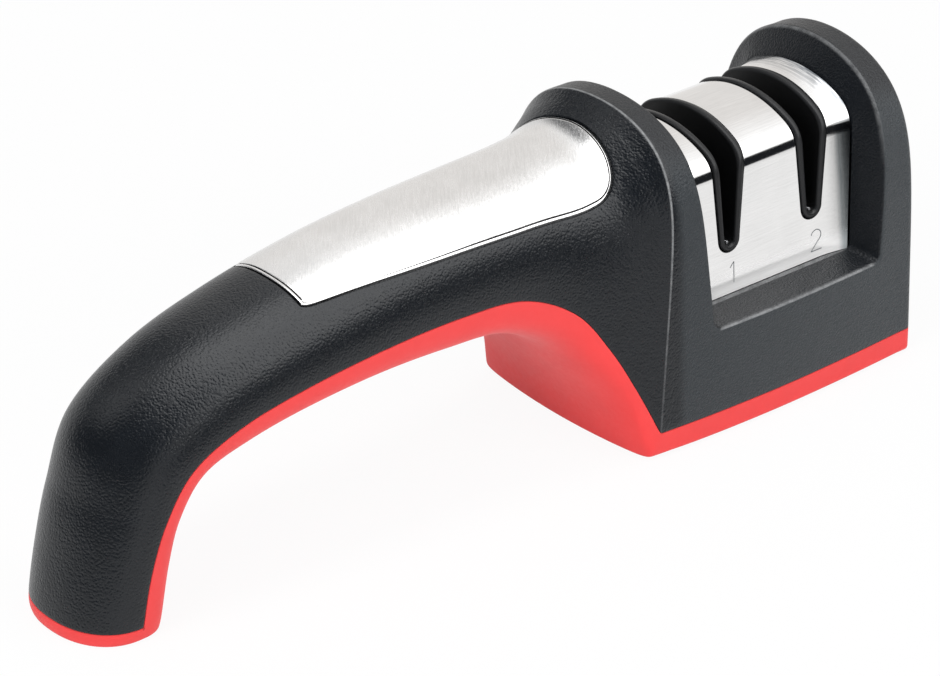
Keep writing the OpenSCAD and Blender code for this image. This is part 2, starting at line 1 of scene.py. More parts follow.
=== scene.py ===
import math
import bmesh
import bpy
import numpy as np
from bpy.props import FloatProperty, FloatVectorProperty, PointerProperty
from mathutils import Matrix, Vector


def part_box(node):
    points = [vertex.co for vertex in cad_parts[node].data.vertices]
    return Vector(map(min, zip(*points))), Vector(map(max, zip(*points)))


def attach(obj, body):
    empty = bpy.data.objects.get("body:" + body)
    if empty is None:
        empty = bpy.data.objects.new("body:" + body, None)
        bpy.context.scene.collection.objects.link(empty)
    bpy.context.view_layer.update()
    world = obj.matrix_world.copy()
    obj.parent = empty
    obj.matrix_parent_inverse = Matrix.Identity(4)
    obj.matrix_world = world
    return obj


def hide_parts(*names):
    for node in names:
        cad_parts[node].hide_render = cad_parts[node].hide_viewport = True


bl_info = {
    "name": "Pull-through sharpener",
    "version": (1, 0, 0),
    "blender": (4, 5, 0),
    "location": "View3D > Sidebar > Sharpener",
    "description": "Dresses a two-stage pull-through sharpener with a bow handle",
    "category": "Add Mesh",
}

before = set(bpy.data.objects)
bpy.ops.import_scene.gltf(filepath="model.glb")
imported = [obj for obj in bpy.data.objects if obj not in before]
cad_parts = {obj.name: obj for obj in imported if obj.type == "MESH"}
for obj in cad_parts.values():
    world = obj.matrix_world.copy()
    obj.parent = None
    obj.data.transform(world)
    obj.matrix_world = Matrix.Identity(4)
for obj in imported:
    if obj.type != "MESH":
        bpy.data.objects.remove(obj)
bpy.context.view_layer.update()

BODY = "frame"
# Stations of the bow handle in millimetres, from the foot to the crease of the front hoop:
# outer edge x, z; widest line x, z; inner edge x, z; half width; roundness across and along
# of the outer half; roundness of the inner half; bow of the inner half seen from above.
HANDLE = np.array([
    [-101.8, 0, -90.7, 0, -82.1, 0, 14.1, 2.2, 2.2, 2.8, 0],
    [-102, 3, -90.4, 3, -81.8, 3, 14.8, 2.2, 2.2, 2.8, 0],
    [-100, 12.8, -88.4, 13.3, -79.8, 14.1, 15.1, 2.2, 2.2, 2.8, 0],
    [-96.6, 25.7, -84.7, 23.7, -77.3, 22.7, 15.4, 2.2, 2.2, 2.8, 0],
    [-90.8, 40.7, -78.2, 33.1, -72, 29.2, 15.8, 2.2, 2.2, 2.8, 0],
    [-74.8, 51.1, -66.6, 38.7, -62.1, 31.6, 16.2, 2.3, 2.3, 2.8, 0],
    [-55.1, 56.7, -51.1, 41.9, -49.9, 33.9, 16.7, 2.45, 2.4, 3, 0],
    [-33.8, 60.5, -32.5, 43.8, -32.5, 35, 17.1, 2.5, 2.4, 3, 0],
    [-14.3, 62.3, -14.3, 44.2, -15.5, 34.4, 17.3, 2.5, 2.45, 3, 0],
    [5.8, 62.9, 1.7, 42.9, -1.5, 33.1, 18, 2.5, 2.6, 3, 0.3],
    [19.5, 63.6, 14, 36.3, 10.2, 27.3, 19.6, 2.4, 3, 3, 0.8],
    [27.3, 64.3, 21.5, 26.2, 18.1, 18.2, 21.8, 2.2, 4.5, 3.4, 1.5],
    [33.1, 67.2, 27, 15.5, 23.7, 8.6, 24.1, 2.1, 6.5, 4.8, 1.9],
    [36.7, 69.5, 31.5, 5.5, 26.5, 0.2, 26, 2.1, 8, 14, 2.2],
])
# Stations of the head behind the crease, in the same columns.
HEAD = np.array([
    [36.7, 69.5, 31.5, 5.5, 26.5, 0.2, 26, 2.1, 8, 14, 2.2],
    [49, 68.9, 45, 5.5, 45, 0.2, 26.9, 2.1, 7.7, 24, 0],
    [64.5, 67.75, 63.5, 5.5, 63.5, 0.2, 27.4, 2.1, 7.3, 24, 0],
    [82.5, 66.7, 82.5, 5.5, 82.5, 0.2, 27, 2, 6.8, 24, 0],
    [98, 66, 98, 5.5, 98, 0.2, 26.2, 2, 6.5, 24, 0],
])
CREASE = len(HANDLE) - 1
REAR = CREASE + len(HEAD) - 1
# Outline of the steel inlay on the handle: station and half width.
INLAY = np.array([
    [6.33, 10.4], [6.42, 11.2], [6.75, 12.2], [7.2, 13.2], [7.7, 13.9], [8.64, 14.8],
    [9.46, 15.5], [10.23, 16.4], [10.75, 16.6], [11.1, 15.4], [11.33, 12.4], [11.47, 8.4],
    [11.55, 4.6], [11.59, 1.6],
])
# How far the head's sides draw in towards the top, as a share of the half width.
HEAD_LEAN = 0.06
# The station where the red foot ends, and its height in millimetres.
FOOT = 1
FOOT_HEIGHT = 3
# Faces across a section, and the column that the pocket's sill starts from.
ACROSS = 120
SILL_COLUMN = 15
# The stations round the inlay, and the faces between them.
PANEL_LOW = 5.6
PANEL_HIGH = 12.55
PANEL_STEPS = 80
# Small step of a station or a place that slopes are taken from.
SLOPE_STEP = 1e-3
# Places across a section, with the seams' corners at both ends.
COLUMNS = np.concatenate([[-1], np.linspace(0, 1, ACROSS + 1), [2]])


def length(name, description, default):
    """Setting that holds a length in metres."""
    return FloatProperty(name=name, description=description, default=default, unit="LENGTH")


def share(name, description, default):
    """Setting that holds a plain number."""
    return FloatProperty(name=name, description=description, default=default)


def tint(name, description, default):
    """Setting that holds a colour."""
    return FloatVectorProperty(
        name=name, description=description, default=default, subtype="COLOR", min=0, max=1)


class ShellSizes(bpy.types.PropertyGroup):
    """Sizes of the two moulded shells"""
    head_rear: length("Rear of the head", "Rear end of the head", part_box("housing")[1].x)
    edge_round: length("Edge rounding", "Rounding along the hoops and the pocket", 0.0007)
    crease_round: length("Crease rounding", "Rounding of the front hoop's crease", 0.0005)
    seam_round: length(
        "Seam rounding", "Rounding of each shell along the parting line", 0.00022)
    seam_gap: length("Seam gap", "Gap between the two shells", 0.0001)
    rear_round: length("Rear rounding", "Rounding of the rear face", 0.0018)
    sill_z: length("Sill height", "Height of the sill's outer edge", 0.02435)
    corner_round: length("Pocket corner", "Radius of the pocket's lower front corner", 0.0024)
    grain: length("Grain size", "Size of one cell of the leather grain", 0.0005)


class SaddleSizes(bpy.types.PropertyGroup):
    """Sizes of the steel saddle"""
    crown: length("Crown", "Height of the saddle's crown", 0.0592)
    arch_r: length("Arch radius", "Radius of the shallow arch", 0.027)
    bend_r: length("Bend radius", "Radius of the bend between arch and side", 0.006)
    bend_y: length("Bend centre", "Distance of the bend's centre from the middle", 0.0094)
    foot_y: length("Foot half width", "Half width of the saddle at its lower edge", 0.018)
    foot_z: length(
        "Foot height", "Height of the saddle's lower edge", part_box("saddle_plate")[0].z)
    rear: length("Rear edge", "Rear edge of the saddle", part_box("saddle_plate")[1].x)
    rear_lean: share(
        "Rear lean", "How far the rear edge leans back for each unit of height", 0.08)
    sheet: length("Sheet", "Thickness of the steel sheet", 0.001)
    curl: length("Curl", "How far the saddle curls out at its rear edge", 0.0011)
    curl_length: length("Curl length", "Length of the curled strip", 0.008)
    edge_round: length("Edge rounding", "Rounding of the sheet's edges", 0.00012)


class SlotSizes(bpy.types.PropertyGroup):
    """Sizes of the two slots and their rims"""
    coarse_x: length("Coarse slot", "Place of the coarse slot along the head", 0.0574)
    pitch: length("Pitch", "Distance between the slots", 0.0229)
    lean: share("Lean", "How far a slot leans back for each unit of height", 0.05)
    foot_z: length("Foot height", "Height of the centre of a slot's rounded foot", 0.0375)
    rim_r: length("Rim foot radius", "Outer radius of a rim's rounded foot", 0.00265)
    rim_top_half: length("Rim half width", "Half width of a rim at the crown", 0.0048)
    slot_r: length("Slot foot radius", "Radius of the rounded foot of the slot", 0.0013)
    slot_top_half: length("Slot half width", "Half width of the slot at the crown", 0.003)
    rim_proud: length("Rim height", "How far a rim stands above the steel", 0.0005)
    rim_round: length("Rim rounding", "Rounding of a rim's edges", 0.0006)
    digit_height: length("Digit height", "Height of the digits by the slots", 0.0046)


class Finishes(bpy.types.PropertyGroup):
    """Colours of the finishes"""
    black: tint("Black shell", "Colour of the moulded black plastic", (0.0052, 0.0066, 0.0088))
    red: tint("Red shell", "Colour of the soft-touch red plastic", (0.74, 0.047, 0.047))
    steel: tint("Steel sheet", "Colour of the brushed steel", (0.85, 0.845, 0.84))
    insert: tint("Slot insert", "Colour of the semi-gloss slot insert", (0.013, 0.0135, 0.0145))
    floor: tint("Floor", "Colour of the studio floor", (0.86, 0.86, 0.865))


def mm(length):
    """A length of the settings in millimetres, the unit of the tables."""
    return length * 1000


# ---- Curves and surfaces -----------------------------------------------------------------

def smooth_row(table, t):
    """Catmull-Rom row between the rows of a table, at place t counted in rows."""
    t = np.asarray(t, float)
    last = len(table) - 1
    i = np.clip(np.floor(t).astype(int), 0, last - 1)
    f = (t - i)[..., None]
    before = table[np.maximum(i - 1, 0)]
    here = table[i]
    after = table[i + 1]
    beyond = table[np.minimum(i + 2, last)]
    return 0.5 * (
        2 * here + (after - before) * f
        + (2 * before - 5 * here + 4 * after - beyond) * f ** 2
        + (3 * here - before - 3 * after + beyond) * f ** 3)


def station(t):
    """Row of section values at station t: the handle up to the crease, the head after it."""
    t = np.asarray(t, float)
    low = smooth_row(HANDLE, np.clip(t, 0, CREASE))
    high = smooth_row(HEAD, np.clip(t - CREASE, 0, len(HEAD) - 1))
    return np.where((t <= CREASE)[..., None], low, high)


def section_angle(x):
    """Angle on a section for x from 0 to 2, with its top at 1. Its tangent is the tenth power
    of x over one less x, so that even steps also resolve the corners of boxy sections."""
    h = np.where(x > 1, 2 - x, x)
    a = np.arctan2(h ** 10, (1 - h) ** 10)
    return np.where(x > 1, np.pi - a, a)


def section(row, a, outer):
    """Point of a superellipse: u is the cosine to the power two over the roundness across, v
    the sine to two over the roundness along. Along the section's plane the point goes from
    the widest line to the edge by v; across it is half the width times u."""
    edge = row[..., 0:2] if outer else row[..., 4:6]
    side = row[..., 2:4]
    across = row[..., 7] if outer else row[..., 9]
    along = row[..., 8] if outer else row[..., 9]
    u = np.sign(np.cos(a)) * np.abs(np.cos(a)) ** (2 / across)
    v = np.clip(np.sin(a), 0, 1) ** (2 / along)
    lean = HEAD_LEAN * np.clip((row[..., 0] - 4.5) / 30, 0, 1) if outer else 0
    bow = 0 if outer else row[..., 10] * u * u * v
    x = side[..., 0] + (edge[..., 0] - side[..., 0]) * v + bow
    z = side[..., 1] + (edge[..., 1] - side[..., 1]) * v
    return np.stack([x, -row[..., 6] * u * (1 - lean * v), z], -1)


class Half:
    """One half of the body, outer or inner, as a surface over station and place across.

    Places across are counted from 0 to 1 in even steps of length between two rounded seams;
    -1 and 2 stand for the seams' corners themselves."""

    def __init__(self, outer, gap, seam):
        """Tabulates even places of length across every section."""
        self.outer = outer
        self.gap = gap
        self.seam = seam
        self.t = np.linspace(0, REAR, REAR * 20 + 1)
        x = np.linspace(0, 2, 2401)
        points = section(station(self.t)[:, None, :], section_angle(x)[None, :], outer)
        steps = np.linalg.norm(np.diff(points, axis=1), axis=-1)
        run = np.concatenate([np.zeros((len(self.t), 1)), np.cumsum(steps, axis=1)], axis=1)
        self.length = run[:, -1]
        self.s = np.linspace(0, 1, 481)
        self.x = np.array([np.interp(self.s, r / r[-1], x) for r in run])

    def place(self, t, c):
        """Section angle at station t and place c up to the middle, from the even table."""
        length = np.interp(t, self.t, self.length)
        low = self.gap / length
        start = low + self.seam / length
        s = np.where(c < 0, low, start + (1 - 2 * start) * c)
        i = np.clip((t / (self.t[1] - self.t[0])).astype(int), 0, len(self.t) - 2)
        j = np.clip((s * (len(self.s) - 1)).astype(int), 0, len(self.s) - 2)
        f = t / (self.t[1] - self.t[0]) - i
        g = s * (len(self.s) - 1) - j
        x = ((1 - f) * ((1 - g) * self.x[i, j] + g * self.x[i, j + 1])
             + f * ((1 - g) * self.x[i + 1, j] + g * self.x[i + 1, j + 1]))
        return section_angle(x)

    def at(self, t, c):
        """Point of the surface at station t and place c."""
        t, c = np.broadcast_arrays(np.asarray(t, float), np.asarray(c, float))
        far = c > 0.5
        points = section(station(t), self.place(t, np.where(far, 1 - c, c)), self.outer)
        points[..., 1] = np.where(far, -points[..., 1], points[..., 1])
        return points

    def slopes(self, t, c):
        """Change of the point for a unit of t and a unit of c, from small steps."""
        h = SLOPE_STEP
        down = np.where(np.asarray(t) - h < 0, 0, h)
        st = (self.at(t + h, c) - self.at(t - down, c)) / (h + down)[..., None]
        sc = (self.at(t, np.minimum(c + h, 1)) - self.at(t, np.maximum(c - h, 0)))
        sc = sc / (np.minimum(c + h, 1) - np.maximum(c - h, 0))[..., None]
        return st, sc

    def normal(self, t, c):
        """Outward unit normal."""
        st, sc = self.slopes(t, c)
        n = unit(np.cross(st, sc))
        return n if self.outer else -n


def unit(v):
    """Vectors of length one."""
    return v / np.maximum(np.linalg.norm(v, axis=-1, keepdims=True), 1e-9)


def rolled(start, corner, end, steps=4):
    """Quadratic curve from start to end that turns at corner; the steps are the first axis."""
    k = np.linspace(0, 1, steps + 1).reshape((-1,) + (1,) * start.ndim)
    return (1 - k) ** 2 * start + 2 * k * (1 - k) * corner + k ** 2 * end


def between(a, b, steps):
    """Straight rows from a to b; the steps are the first axis."""
    k = np.linspace(0, 1, steps + 1).reshape((-1,) + (1,) * np.asarray(a).ndim)
    return (1 - k) * a + k * b


def mirrored(points):
    """The same points on the other side of the middle plane."""
    return points * np.array([1, -1, 1])


def parting(edge, first, seam):
    """Faces that close a shell between its two seams: a rounded edge, then straight across to
    the other rounded edge."""
    inward = edge.copy()
    inward[..., 1] = edge[..., 1] + seam
    near = np.moveaxis(rolled(first, edge, inward, 3), 0, 1)
    return np.concatenate([near, mirrored(near)[:, ::-1]], axis=1)


class Patches:
    """Grids of points that are joined into one mesh."""

    def __init__(self):
        """Starts with nothing."""
        self.points = []
        self.faces = []
        self.finishes = []
        self.count = 0

    def add(self, grid, loop=False, finish=0):
        """Adds a grid of rows of points, with the rows closed into loops if asked; finish is
        the number of the grid's material."""
        grid = np.asarray(grid, float)
        n, m = grid.shape[:2]
        index = self.count + np.arange(n * m).reshape(n, m)
        if loop:
            index = np.concatenate([index, index[:, :1]], axis=1)
        quads = np.stack([index[:-1, :-1], index[1:, :-1], index[1:, 1:], index[:-1, 1:]], -1)
        self.points.append(grid.reshape(-1, 3))
        self.faces.append(quads.reshape(-1, 4))
        self.finishes.append(np.full(quads.shape[0] * quads.shape[1], finish, np.int32))
        self.count += n * m

    def add_shell(self, grid, seam):
        """Adds a grid whose first and last columns are the seams' corners, and its parting."""
        self.add(grid[:, 1:-1])
        self.add(parting(grid[:, 0], grid[:, 1], seam))

    def make(self, name, weld=0.0012, close=True, sharp=50):
        """Makes the object: welds the grids, closes what is open and points faces outwards."""
        mesh = bpy.data.meshes.new(name)
        points = np.concatenate(self.points) * 0.001
        mesh.from_pydata(points.tolist(), [], np.concatenate(self.faces).tolist())
        mesh.polygons.foreach_set("material_index", np.concatenate(self.finishes))
        work = bmesh.new()
        work.from_mesh(mesh)
        bmesh.ops.remove_doubles(work, verts=work.verts, dist=weld * 0.001)
        if close:
            open_edges = [e for e in work.edges if e.is_boundary]
            if open_edges:
                bmesh.ops.holes_fill(work, edges=open_edges, sides=0)
        bmesh.ops.recalc_face_normals(work, faces=work.faces)
        work.to_mesh(mesh)
        work.free()
        mesh.shade_smooth()
        mesh.set_sharp_from_angle(angle=math.radians(sharp))
        obj = bpy.data.objects.new(name, mesh)
        bpy.context.scene.collection.objects.link(obj)
        return obj


def away_from(surface, tc):
    """Unit directions in the surface across a closed loop of places tc."""
    points = surface.at(tc[:, 0], tc[:, 1])
    along = unit(np.roll(points, -1, axis=0) - np.roll(points, 1, axis=0))
    return unit(np.cross(along, surface.normal(tc[:, 0], tc[:, 1])))


def moved(surface, tc, shift):
    """Places reached from tc by a small shift in space, from the surface's two slopes."""
    st, sc = surface.slopes(tc[..., 0], tc[..., 1])
    a = (st * st).sum(-1)
    b = (st * sc).sum(-1)
    d = (sc * sc).sum(-1)
    p = (st * shift).sum(-1)
    q = (sc * shift).sum(-1)
    det = a * d - b * b
    return tc + np.stack([(d * p - b * q) / det, (a * q - b * p) / det], -1)


def lifted(surface, tc, height):
    """Points at places tc, raised above the surface by height."""
    points = surface.at(tc[..., 0], tc[..., 1])
    return points + height * surface.normal(tc[..., 0], tc[..., 1])


def patch_inside(low, high, near, far):
    """Grid between four edges: the two ruled surfaces added, less the one of the corners."""
    u = np.linspace(0, 1, len(low))[None, :, None]
    v = np.linspace(0, 1, len(near))[:, None, None]
    corners = ((1 - u) * (1 - v) * low[0] + u * (1 - v) * low[-1]
               + (1 - u) * v * high[0] + u * v * high[-1])
    return ((1 - v) * low[None] + v * high[None]
            + (1 - u) * near[:, None] + u * far[:, None] - corners)


def resampled(points, places, count):
    """Rows of places at equal steps of length along their points."""
    run = np.concatenate([[0], np.cumsum(np.linalg.norm(np.diff(points, axis=0), axis=1))])
    at = np.linspace(0, run[-1], count + 1)
    return np.stack([np.interp(at, run, places[:, i]) for i in range(places.shape[1])], -1)


def other_side(tc):
    """Places on the other side of the middle."""
    return np.stack([tc[..., 0], 1 - tc[..., 1]], -1)


class InlayOutline:
    """Closed outline of the handle's inlay on the outer half, and its four edges."""

    def __init__(self, back):
        """Lays the outline of half widths on the surface and samples its edges evenly."""
        k = np.linspace(0, len(INLAY) - 1, 400)
        rows = smooth_row(INLAY, k)
        t = rows[:, 0]
        values = station(t)
        ratio = np.minimum(rows[:, 1] / values[:, 6], 0.98)
        angle = np.arccos(ratio ** (values[:, 7] / 2))
        root = np.tan(angle) ** 0.1
        x = root / (1 + root)
        place = np.linspace(0, 0.5, 801)
        table = back.place(t[:, None], place[None, :])
        c = np.array([np.interp(a, row, place) for a, row in zip(angle, table)])
        near = np.stack([t, c], -1)
        near = np.concatenate([near, [[t[-1] + 0.006, 0.5]]])
        turn = np.searchsorted(near[:, 0], 11.17)
        side = near[:turn + 1]
        nose = np.concatenate([near[turn:], other_side(near[turn:-1])[::-1]])
        side = resampled(back.at(side[:, 0], side[:, 1]), side, PANEL_STEPS)
        nose = resampled(back.at(nose[:, 0], nose[:, 1]), nose, ACROSS)
        nose[0] = side[-1]
        nose[-1] = other_side(side[-1])
        low = side[0] + (other_side(side[0]) - side[0]) * np.linspace(0, 1, ACROSS + 1)[:, None]
        self.loop = self.closed(low, nose, side, other_side(side))

    @staticmethod
    def closed(low, high, near, far):
        """Loop round the four edges: low, far, high backwards, near backwards."""
        return np.concatenate([low[:-1], far[:-1], high[::-1][:-1], near[::-1][:-1]])

    @staticmethod
    def edges(loop):
        """The four edges of such a loop: low, high, near and far."""
        a = ACROSS
        b = a + PANEL_STEPS
        c = b + ACROSS
        low = loop[:a + 1]
        far = loop[a:b + 1]
        high = loop[b:c + 1][::-1]
        near = np.concatenate([loop[c:], loop[:1]])[::-1]
        return low, high, near, far

    @staticmethod
    def frame():
        """The same loop round the panel's rectangle of stations and places."""
        k = np.linspace(0, 1, ACROSS + 1)
        up = np.linspace(PANEL_LOW, PANEL_HIGH, PANEL_STEPS + 1)
        low = np.stack([np.full_like(k, PANEL_LOW), k], -1)
        high = np.stack([np.full_like(k, PANEL_HIGH), k], -1)
        near = np.stack([up, np.zeros_like(up)], -1)
        return InlayOutline.closed(low, high, near, other_side(near))


def pocket_front(z):
    """Front edge of the pocket in side view: a shallow parabola."""
    return 45.2 - 0.1033 * (z - 28) + 0.001117 * (z - 28) * (z - 43)


def pocket_rear(z):
    """Front edge of the rear hoop in side view: a straight line that leans back."""
    return 94 + (z - 51.2) * math.tan(math.radians(4.6))


def place_of(surface, x, z, t, c):
    """Places of the near side whose side view is x, z: Newton steps in both directions."""
    tc = np.stack(np.broadcast_arrays(
        np.asarray(t, float), np.asarray(c, float), np.asarray(x, float))[:2], -1).copy()
    for _ in range(12):
        p = surface.at(tc[:, 0], tc[:, 1])
        st, sc = surface.slopes(tc[:, 0], tc[:, 1])
        ex = x - p[:, 0]
        ez = z - p[:, 2]
        det = st[:, 0] * sc[:, 2] - sc[:, 0] * st[:, 2]
        dt = (ex * sc[:, 2] - sc[:, 0] * ez) / det
        dc = (st[:, 0] * ez - ex * st[:, 2]) / det
        tc = tc + np.clip(np.stack([dt, dc], -1), -0.3, 0.3)
        tc[:, 0] = np.clip(tc[:, 0], CREASE, REAR)
        tc[:, 1] = np.clip(tc[:, 1], 0.002, 0.45)
    return tc


def station_of(surface, edge, c, t):
    """Stations at places c where the surface meets a side-view edge x of z."""
    t = np.broadcast_to(np.asarray(t, float), c.shape).copy()
    for _ in range(12):
        p = surface.at(t, c)
        q = surface.at(t + SLOPE_STEP, c)
        gap = p[:, 0] - edge(p[:, 2])
        step = (q[:, 0] - edge(q[:, 2]) - gap) / SLOPE_STEP
        t = np.clip(t - np.clip(gap / step, -0.4, 0.4), CREASE, REAR)
    return t


class PocketOutline:
    """Closed outline of the pocket on the head's outer surface."""

    arc_steps = 5
    sill_steps = 44

    def __init__(self, back, sizes):
        """Finds the places of the side view's straight lines and corner arcs."""
        self.sill_z = mm(sizes.sill_z)
        r = mm(sizes.corner_round)
        q = 0.8 * r
        top = self.sill_z + r
        front_x = pocket_front(top) + r
        rear_x = pocket_rear(self.sill_z + q) - q
        f = np.radians(np.linspace(225, 180, self.arc_steps + 1))
        g = np.radians(np.linspace(315, 360, self.arc_steps + 1))
        front = self.rise(back, front_x + r * np.cos(f), top + r * np.sin(f),
                          pocket_front, 13.9)
        rear = self.rise(back, rear_x + q * np.cos(g), self.sill_z + q + q * np.sin(g),
                         pocket_rear, 16.4)
        f = np.radians(np.linspace(225, 270, self.arc_steps + 1))
        g = np.radians(np.linspace(270, 315, self.arc_steps + 1))
        straight = self.sill_steps - 2 * self.arc_steps
        x = np.concatenate([
            front_x + r * np.cos(f), np.linspace(front_x, rear_x, straight + 1)[1:-1],
            rear_x + q * np.cos(g)])
        z = np.concatenate([
            top + r * np.sin(f), np.full(straight - 1, self.sill_z),
            self.sill_z + q + q * np.sin(g)])
        sill = place_of(back, x, z, 13.9 + (x - 46) / 18, 0.12)
        front[0] = sill[0]
        rear[0] = sill[-1]
        self.near_count = len(front)
        self.front = np.concatenate([front, other_side(front[:-1])[::-1]])
        self.rear = np.concatenate([rear, other_side(rear[:-1])[::-1]])
        self.sill = sill
        self.loop = np.concatenate([
            self.front[:-1], other_side(sill)[:-1], self.rear[::-1][:-1], sill[::-1][:-1]])

    def rise(self, back, x, z, edge, t):
        """Near half of an upright edge: its corner arc, then even places up to the middle."""
        arc = place_of(back, x, z, t, 0.13)
        count = ACROSS // 2 - SILL_COLUMN - self.arc_steps
        c = np.linspace(arc[-1, 1], 0.5, count + 1)[1:]
        up = station_of(back, edge, c, t)
        return np.concatenate([arc, np.stack([up, c], -1)])

    def parts(self, loop):
        """Front, near sill and rear edges of a loop in the order of this outline."""
        n = len(self.front) - 1
        m = self.sill_steps
        front = loop[:n + 1]
        rear = loop[n + m:2 * n + m + 1][::-1]
        sill = np.concatenate([loop[2 * n + m:], loop[:1]])[::-1]
        return front, sill, rear


class SaddleCurve:
    """Outline of the saddle across the head: straight side, bend, shallow arch."""

    def __init__(self, sizes):
        """Works out where side, bend and arch meet, and the length of each."""
        self.r = mm(sizes.bend_r)
        self.big = mm(sizes.arch_r)
        self.y = mm(sizes.bend_y)
        self.foot = np.array([mm(sizes.foot_y), mm(sizes.foot_z)])
        self.arch_z = mm(sizes.crown) - self.big
        reach = self.big - self.r
        self.bend_z = self.arch_z + math.sqrt(reach ** 2 - self.y ** 2)
        self.turn = math.acos(self.y / reach)
        self.flare = math.atan(
            (self.foot[0] - self.y - self.r) / (self.bend_z - self.foot[1]))
        start = self.bend_start(0)
        self.side_run = float(np.linalg.norm(start - self.foot))
        self.bend_run = self.r * (self.turn - self.flare)
        self.arch_run = self.big * (math.pi / 2 - self.turn)
        self.half = self.side_run + self.bend_run + self.arch_run

    def bend_start(self, d):
        """Point where the straight side meets the bend, on the outline drawn in by d."""
        r = self.r - d
        return np.stack([self.y + r * math.cos(self.flare),
                         self.bend_z + r * math.sin(self.flare)], -1)

    def at(self, p, d):
        """Point y, z at place p from 0 to 1 along the outline, drawn in by d: the side by a
        straight line, bend and arch by the cosine and sine of their angle."""
        p, d = np.broadcast_arrays(np.asarray(p, float), np.asarray(d, float))
        run = np.where(p > 0.5, 1 - p, p) * 2 * self.half
        f = np.clip(run / self.side_run, 0, 1)
        start = self.bend_start(d)
        y = (1 - f) * (self.foot[0] - d) + f * start[..., 0]
        z = (1 - f) * self.foot[1] + f * start[..., 1]
        a = self.flare + np.clip((run - self.side_run) / self.bend_run, 0, 1) * (
            self.turn - self.flare)
        bent = run > self.side_run
        y = np.where(bent, self.y + (self.r - d) * np.cos(a), y)
        z = np.where(bent, self.bend_z + (self.r - d) * np.sin(a), z)
        arched = run > self.side_run + self.bend_run
        b = self.turn + np.clip((run - self.side_run - self.bend_run) / self.arch_run, 0, 1) * (
            math.pi / 2 - self.turn)
        y = np.where(arched, (self.big - d) * np.cos(b), y)
        z = np.where(arched, self.arch_z + (self.big - d) * np.sin(b), z)
        return np.where(p > 0.5, y, -y), z

    def place(self, z):
        """Place on the near side's straight part at height z."""
        start = self.bend_start(0)
        f = (z - self.foot[1]) / (start[1] - self.foot[1])
        return f * self.side_run / (2 * self.half)


def rear_rows(surface, c, radius, rear, steps=7):
    """Rows that round the rear face: the last section carried back to the rear end, then
    drawn in along a quarter circle."""
    near = np.where(c > 0.5, 1 - c, c)
    a = surface.place(np.full_like(c, REAR), near)
    turn = np.concatenate([[0], np.linspace(0, math.pi / 2, steps + 1)])[:, None]
    row = np.tile(HEAD[-1], (len(turn), len(c), 1))
    drawn = radius * (1 - np.cos(turn))
    x = rear - radius * (1 - np.sin(turn))
    x[0] = HEAD[-1][0]
    for column in (0, 2, 4):
        row[..., column] = x
    row[..., 1] -= drawn
    row[..., 6] -= drawn
    points = section(row, np.broadcast_to(a, row.shape[:2]), surface.outer)
    points[..., 1] *= np.where(c > 0.5, -1, 1)
    return points


def reach(surface, t, c, length, way):
    """Station at about that length from t, forwards or backwards, from the slope there."""
    st = (surface.at(t + way * SLOPE_STEP, c) - surface.at(t, c)) / SLOPE_STEP
    return t + way * length / np.linalg.norm(st, axis=-1)


# The inlay's recess in millimetres: gap round the inlay, rounded lip and depth.
RECESS_GAP = 0.2
RECESS_LIP = 0.3
RECESS_DEPTH = 1.0


def handle_below(skin, back, seam):
    """Handle below the inlay, from the foot's parting face."""
    lower = back.at(np.linspace(FOOT + seam / 10, PANEL_LOW, 64)[:, None], COLUMNS[None, :])
    skin.add_shell(lower, seam)
    edge = back.at(np.full_like(COLUMNS, FOOT), COLUMNS)
    middle = np.array([station(FOOT)[2], 0, edge[0, 2]])
    skin.add(rolled(lower[0], edge, edge + unit(middle - edge) * seam, 3)[:, 1:-1])


def handle_recess(skin, back, seam):
    """Back of the handle round the inlay, the inlay's recess and the parting beside them."""
    outline = InlayOutline(back)
    away = -away_from(back, outline.loop)
    rim = moved(back, outline.loop, away * (RECESS_GAP + RECESS_LIP))
    wall = moved(back, outline.loop, away * RECESS_GAP)
    fall = (np.linspace(0, 1, 20) ** 1.15)[:, None, None]
    around = (1 - fall) * rim + fall * InlayOutline.frame()
    skin.add(back.at(around[..., 0], around[..., 1]), loop=True)
    wall_top = lifted(back, wall, -RECESS_LIP)
    skin.add(rolled(lifted(back, rim, 0), lifted(back, wall, 0), wall_top, 4), loop=True)
    skin.add(np.stack([wall_top, lifted(back, wall, -RECESS_DEPTH),
                       lifted(back, outline.loop, -RECESS_DEPTH)]), loop=True)
    inside = patch_inside(*outline.edges(outline.loop))
    skin.add(lifted(back, inside, -RECESS_DEPTH))
    t = np.linspace(PANEL_LOW, PANEL_HIGH, PANEL_STEPS + 1)
    skin.add(parting(back.at(t, np.full_like(t, -1)), back.at(t, np.zeros_like(t)), seam))


def shell_rows(skin, back, low, high, steps, seam):
    """Rows of the shell between two columns of places, whose ends are the seams' corners."""
    rows = between(low, high, steps)
    rows[:, 0, 1] = COLUMNS[0]
    rows[:, -1, 1] = COLUMNS[-1]
    skin.add_shell(back.at(rows[..., 0], rows[..., 1]), seam)


def column_at(t):
    """Column of places at the given stations."""
    return np.stack([np.broadcast_to(t, COLUMNS.shape), COLUMNS], -1)


def pocket_column(edge):
    """Column of places that passes the pocket: below it near, along its edge, below it far."""
    foot = np.array([edge[0, 0], 0.0])
    near = foot + (edge[0] - foot) * np.linspace(0, 1, SILL_COLUMN + 1)[:, None]
    body = np.concatenate([near, edge[1:-1], other_side(near)[::-1]])
    return np.concatenate([[[edge[0, 0], -1.0]], body, [[edge[0, 0], 2.0]]])


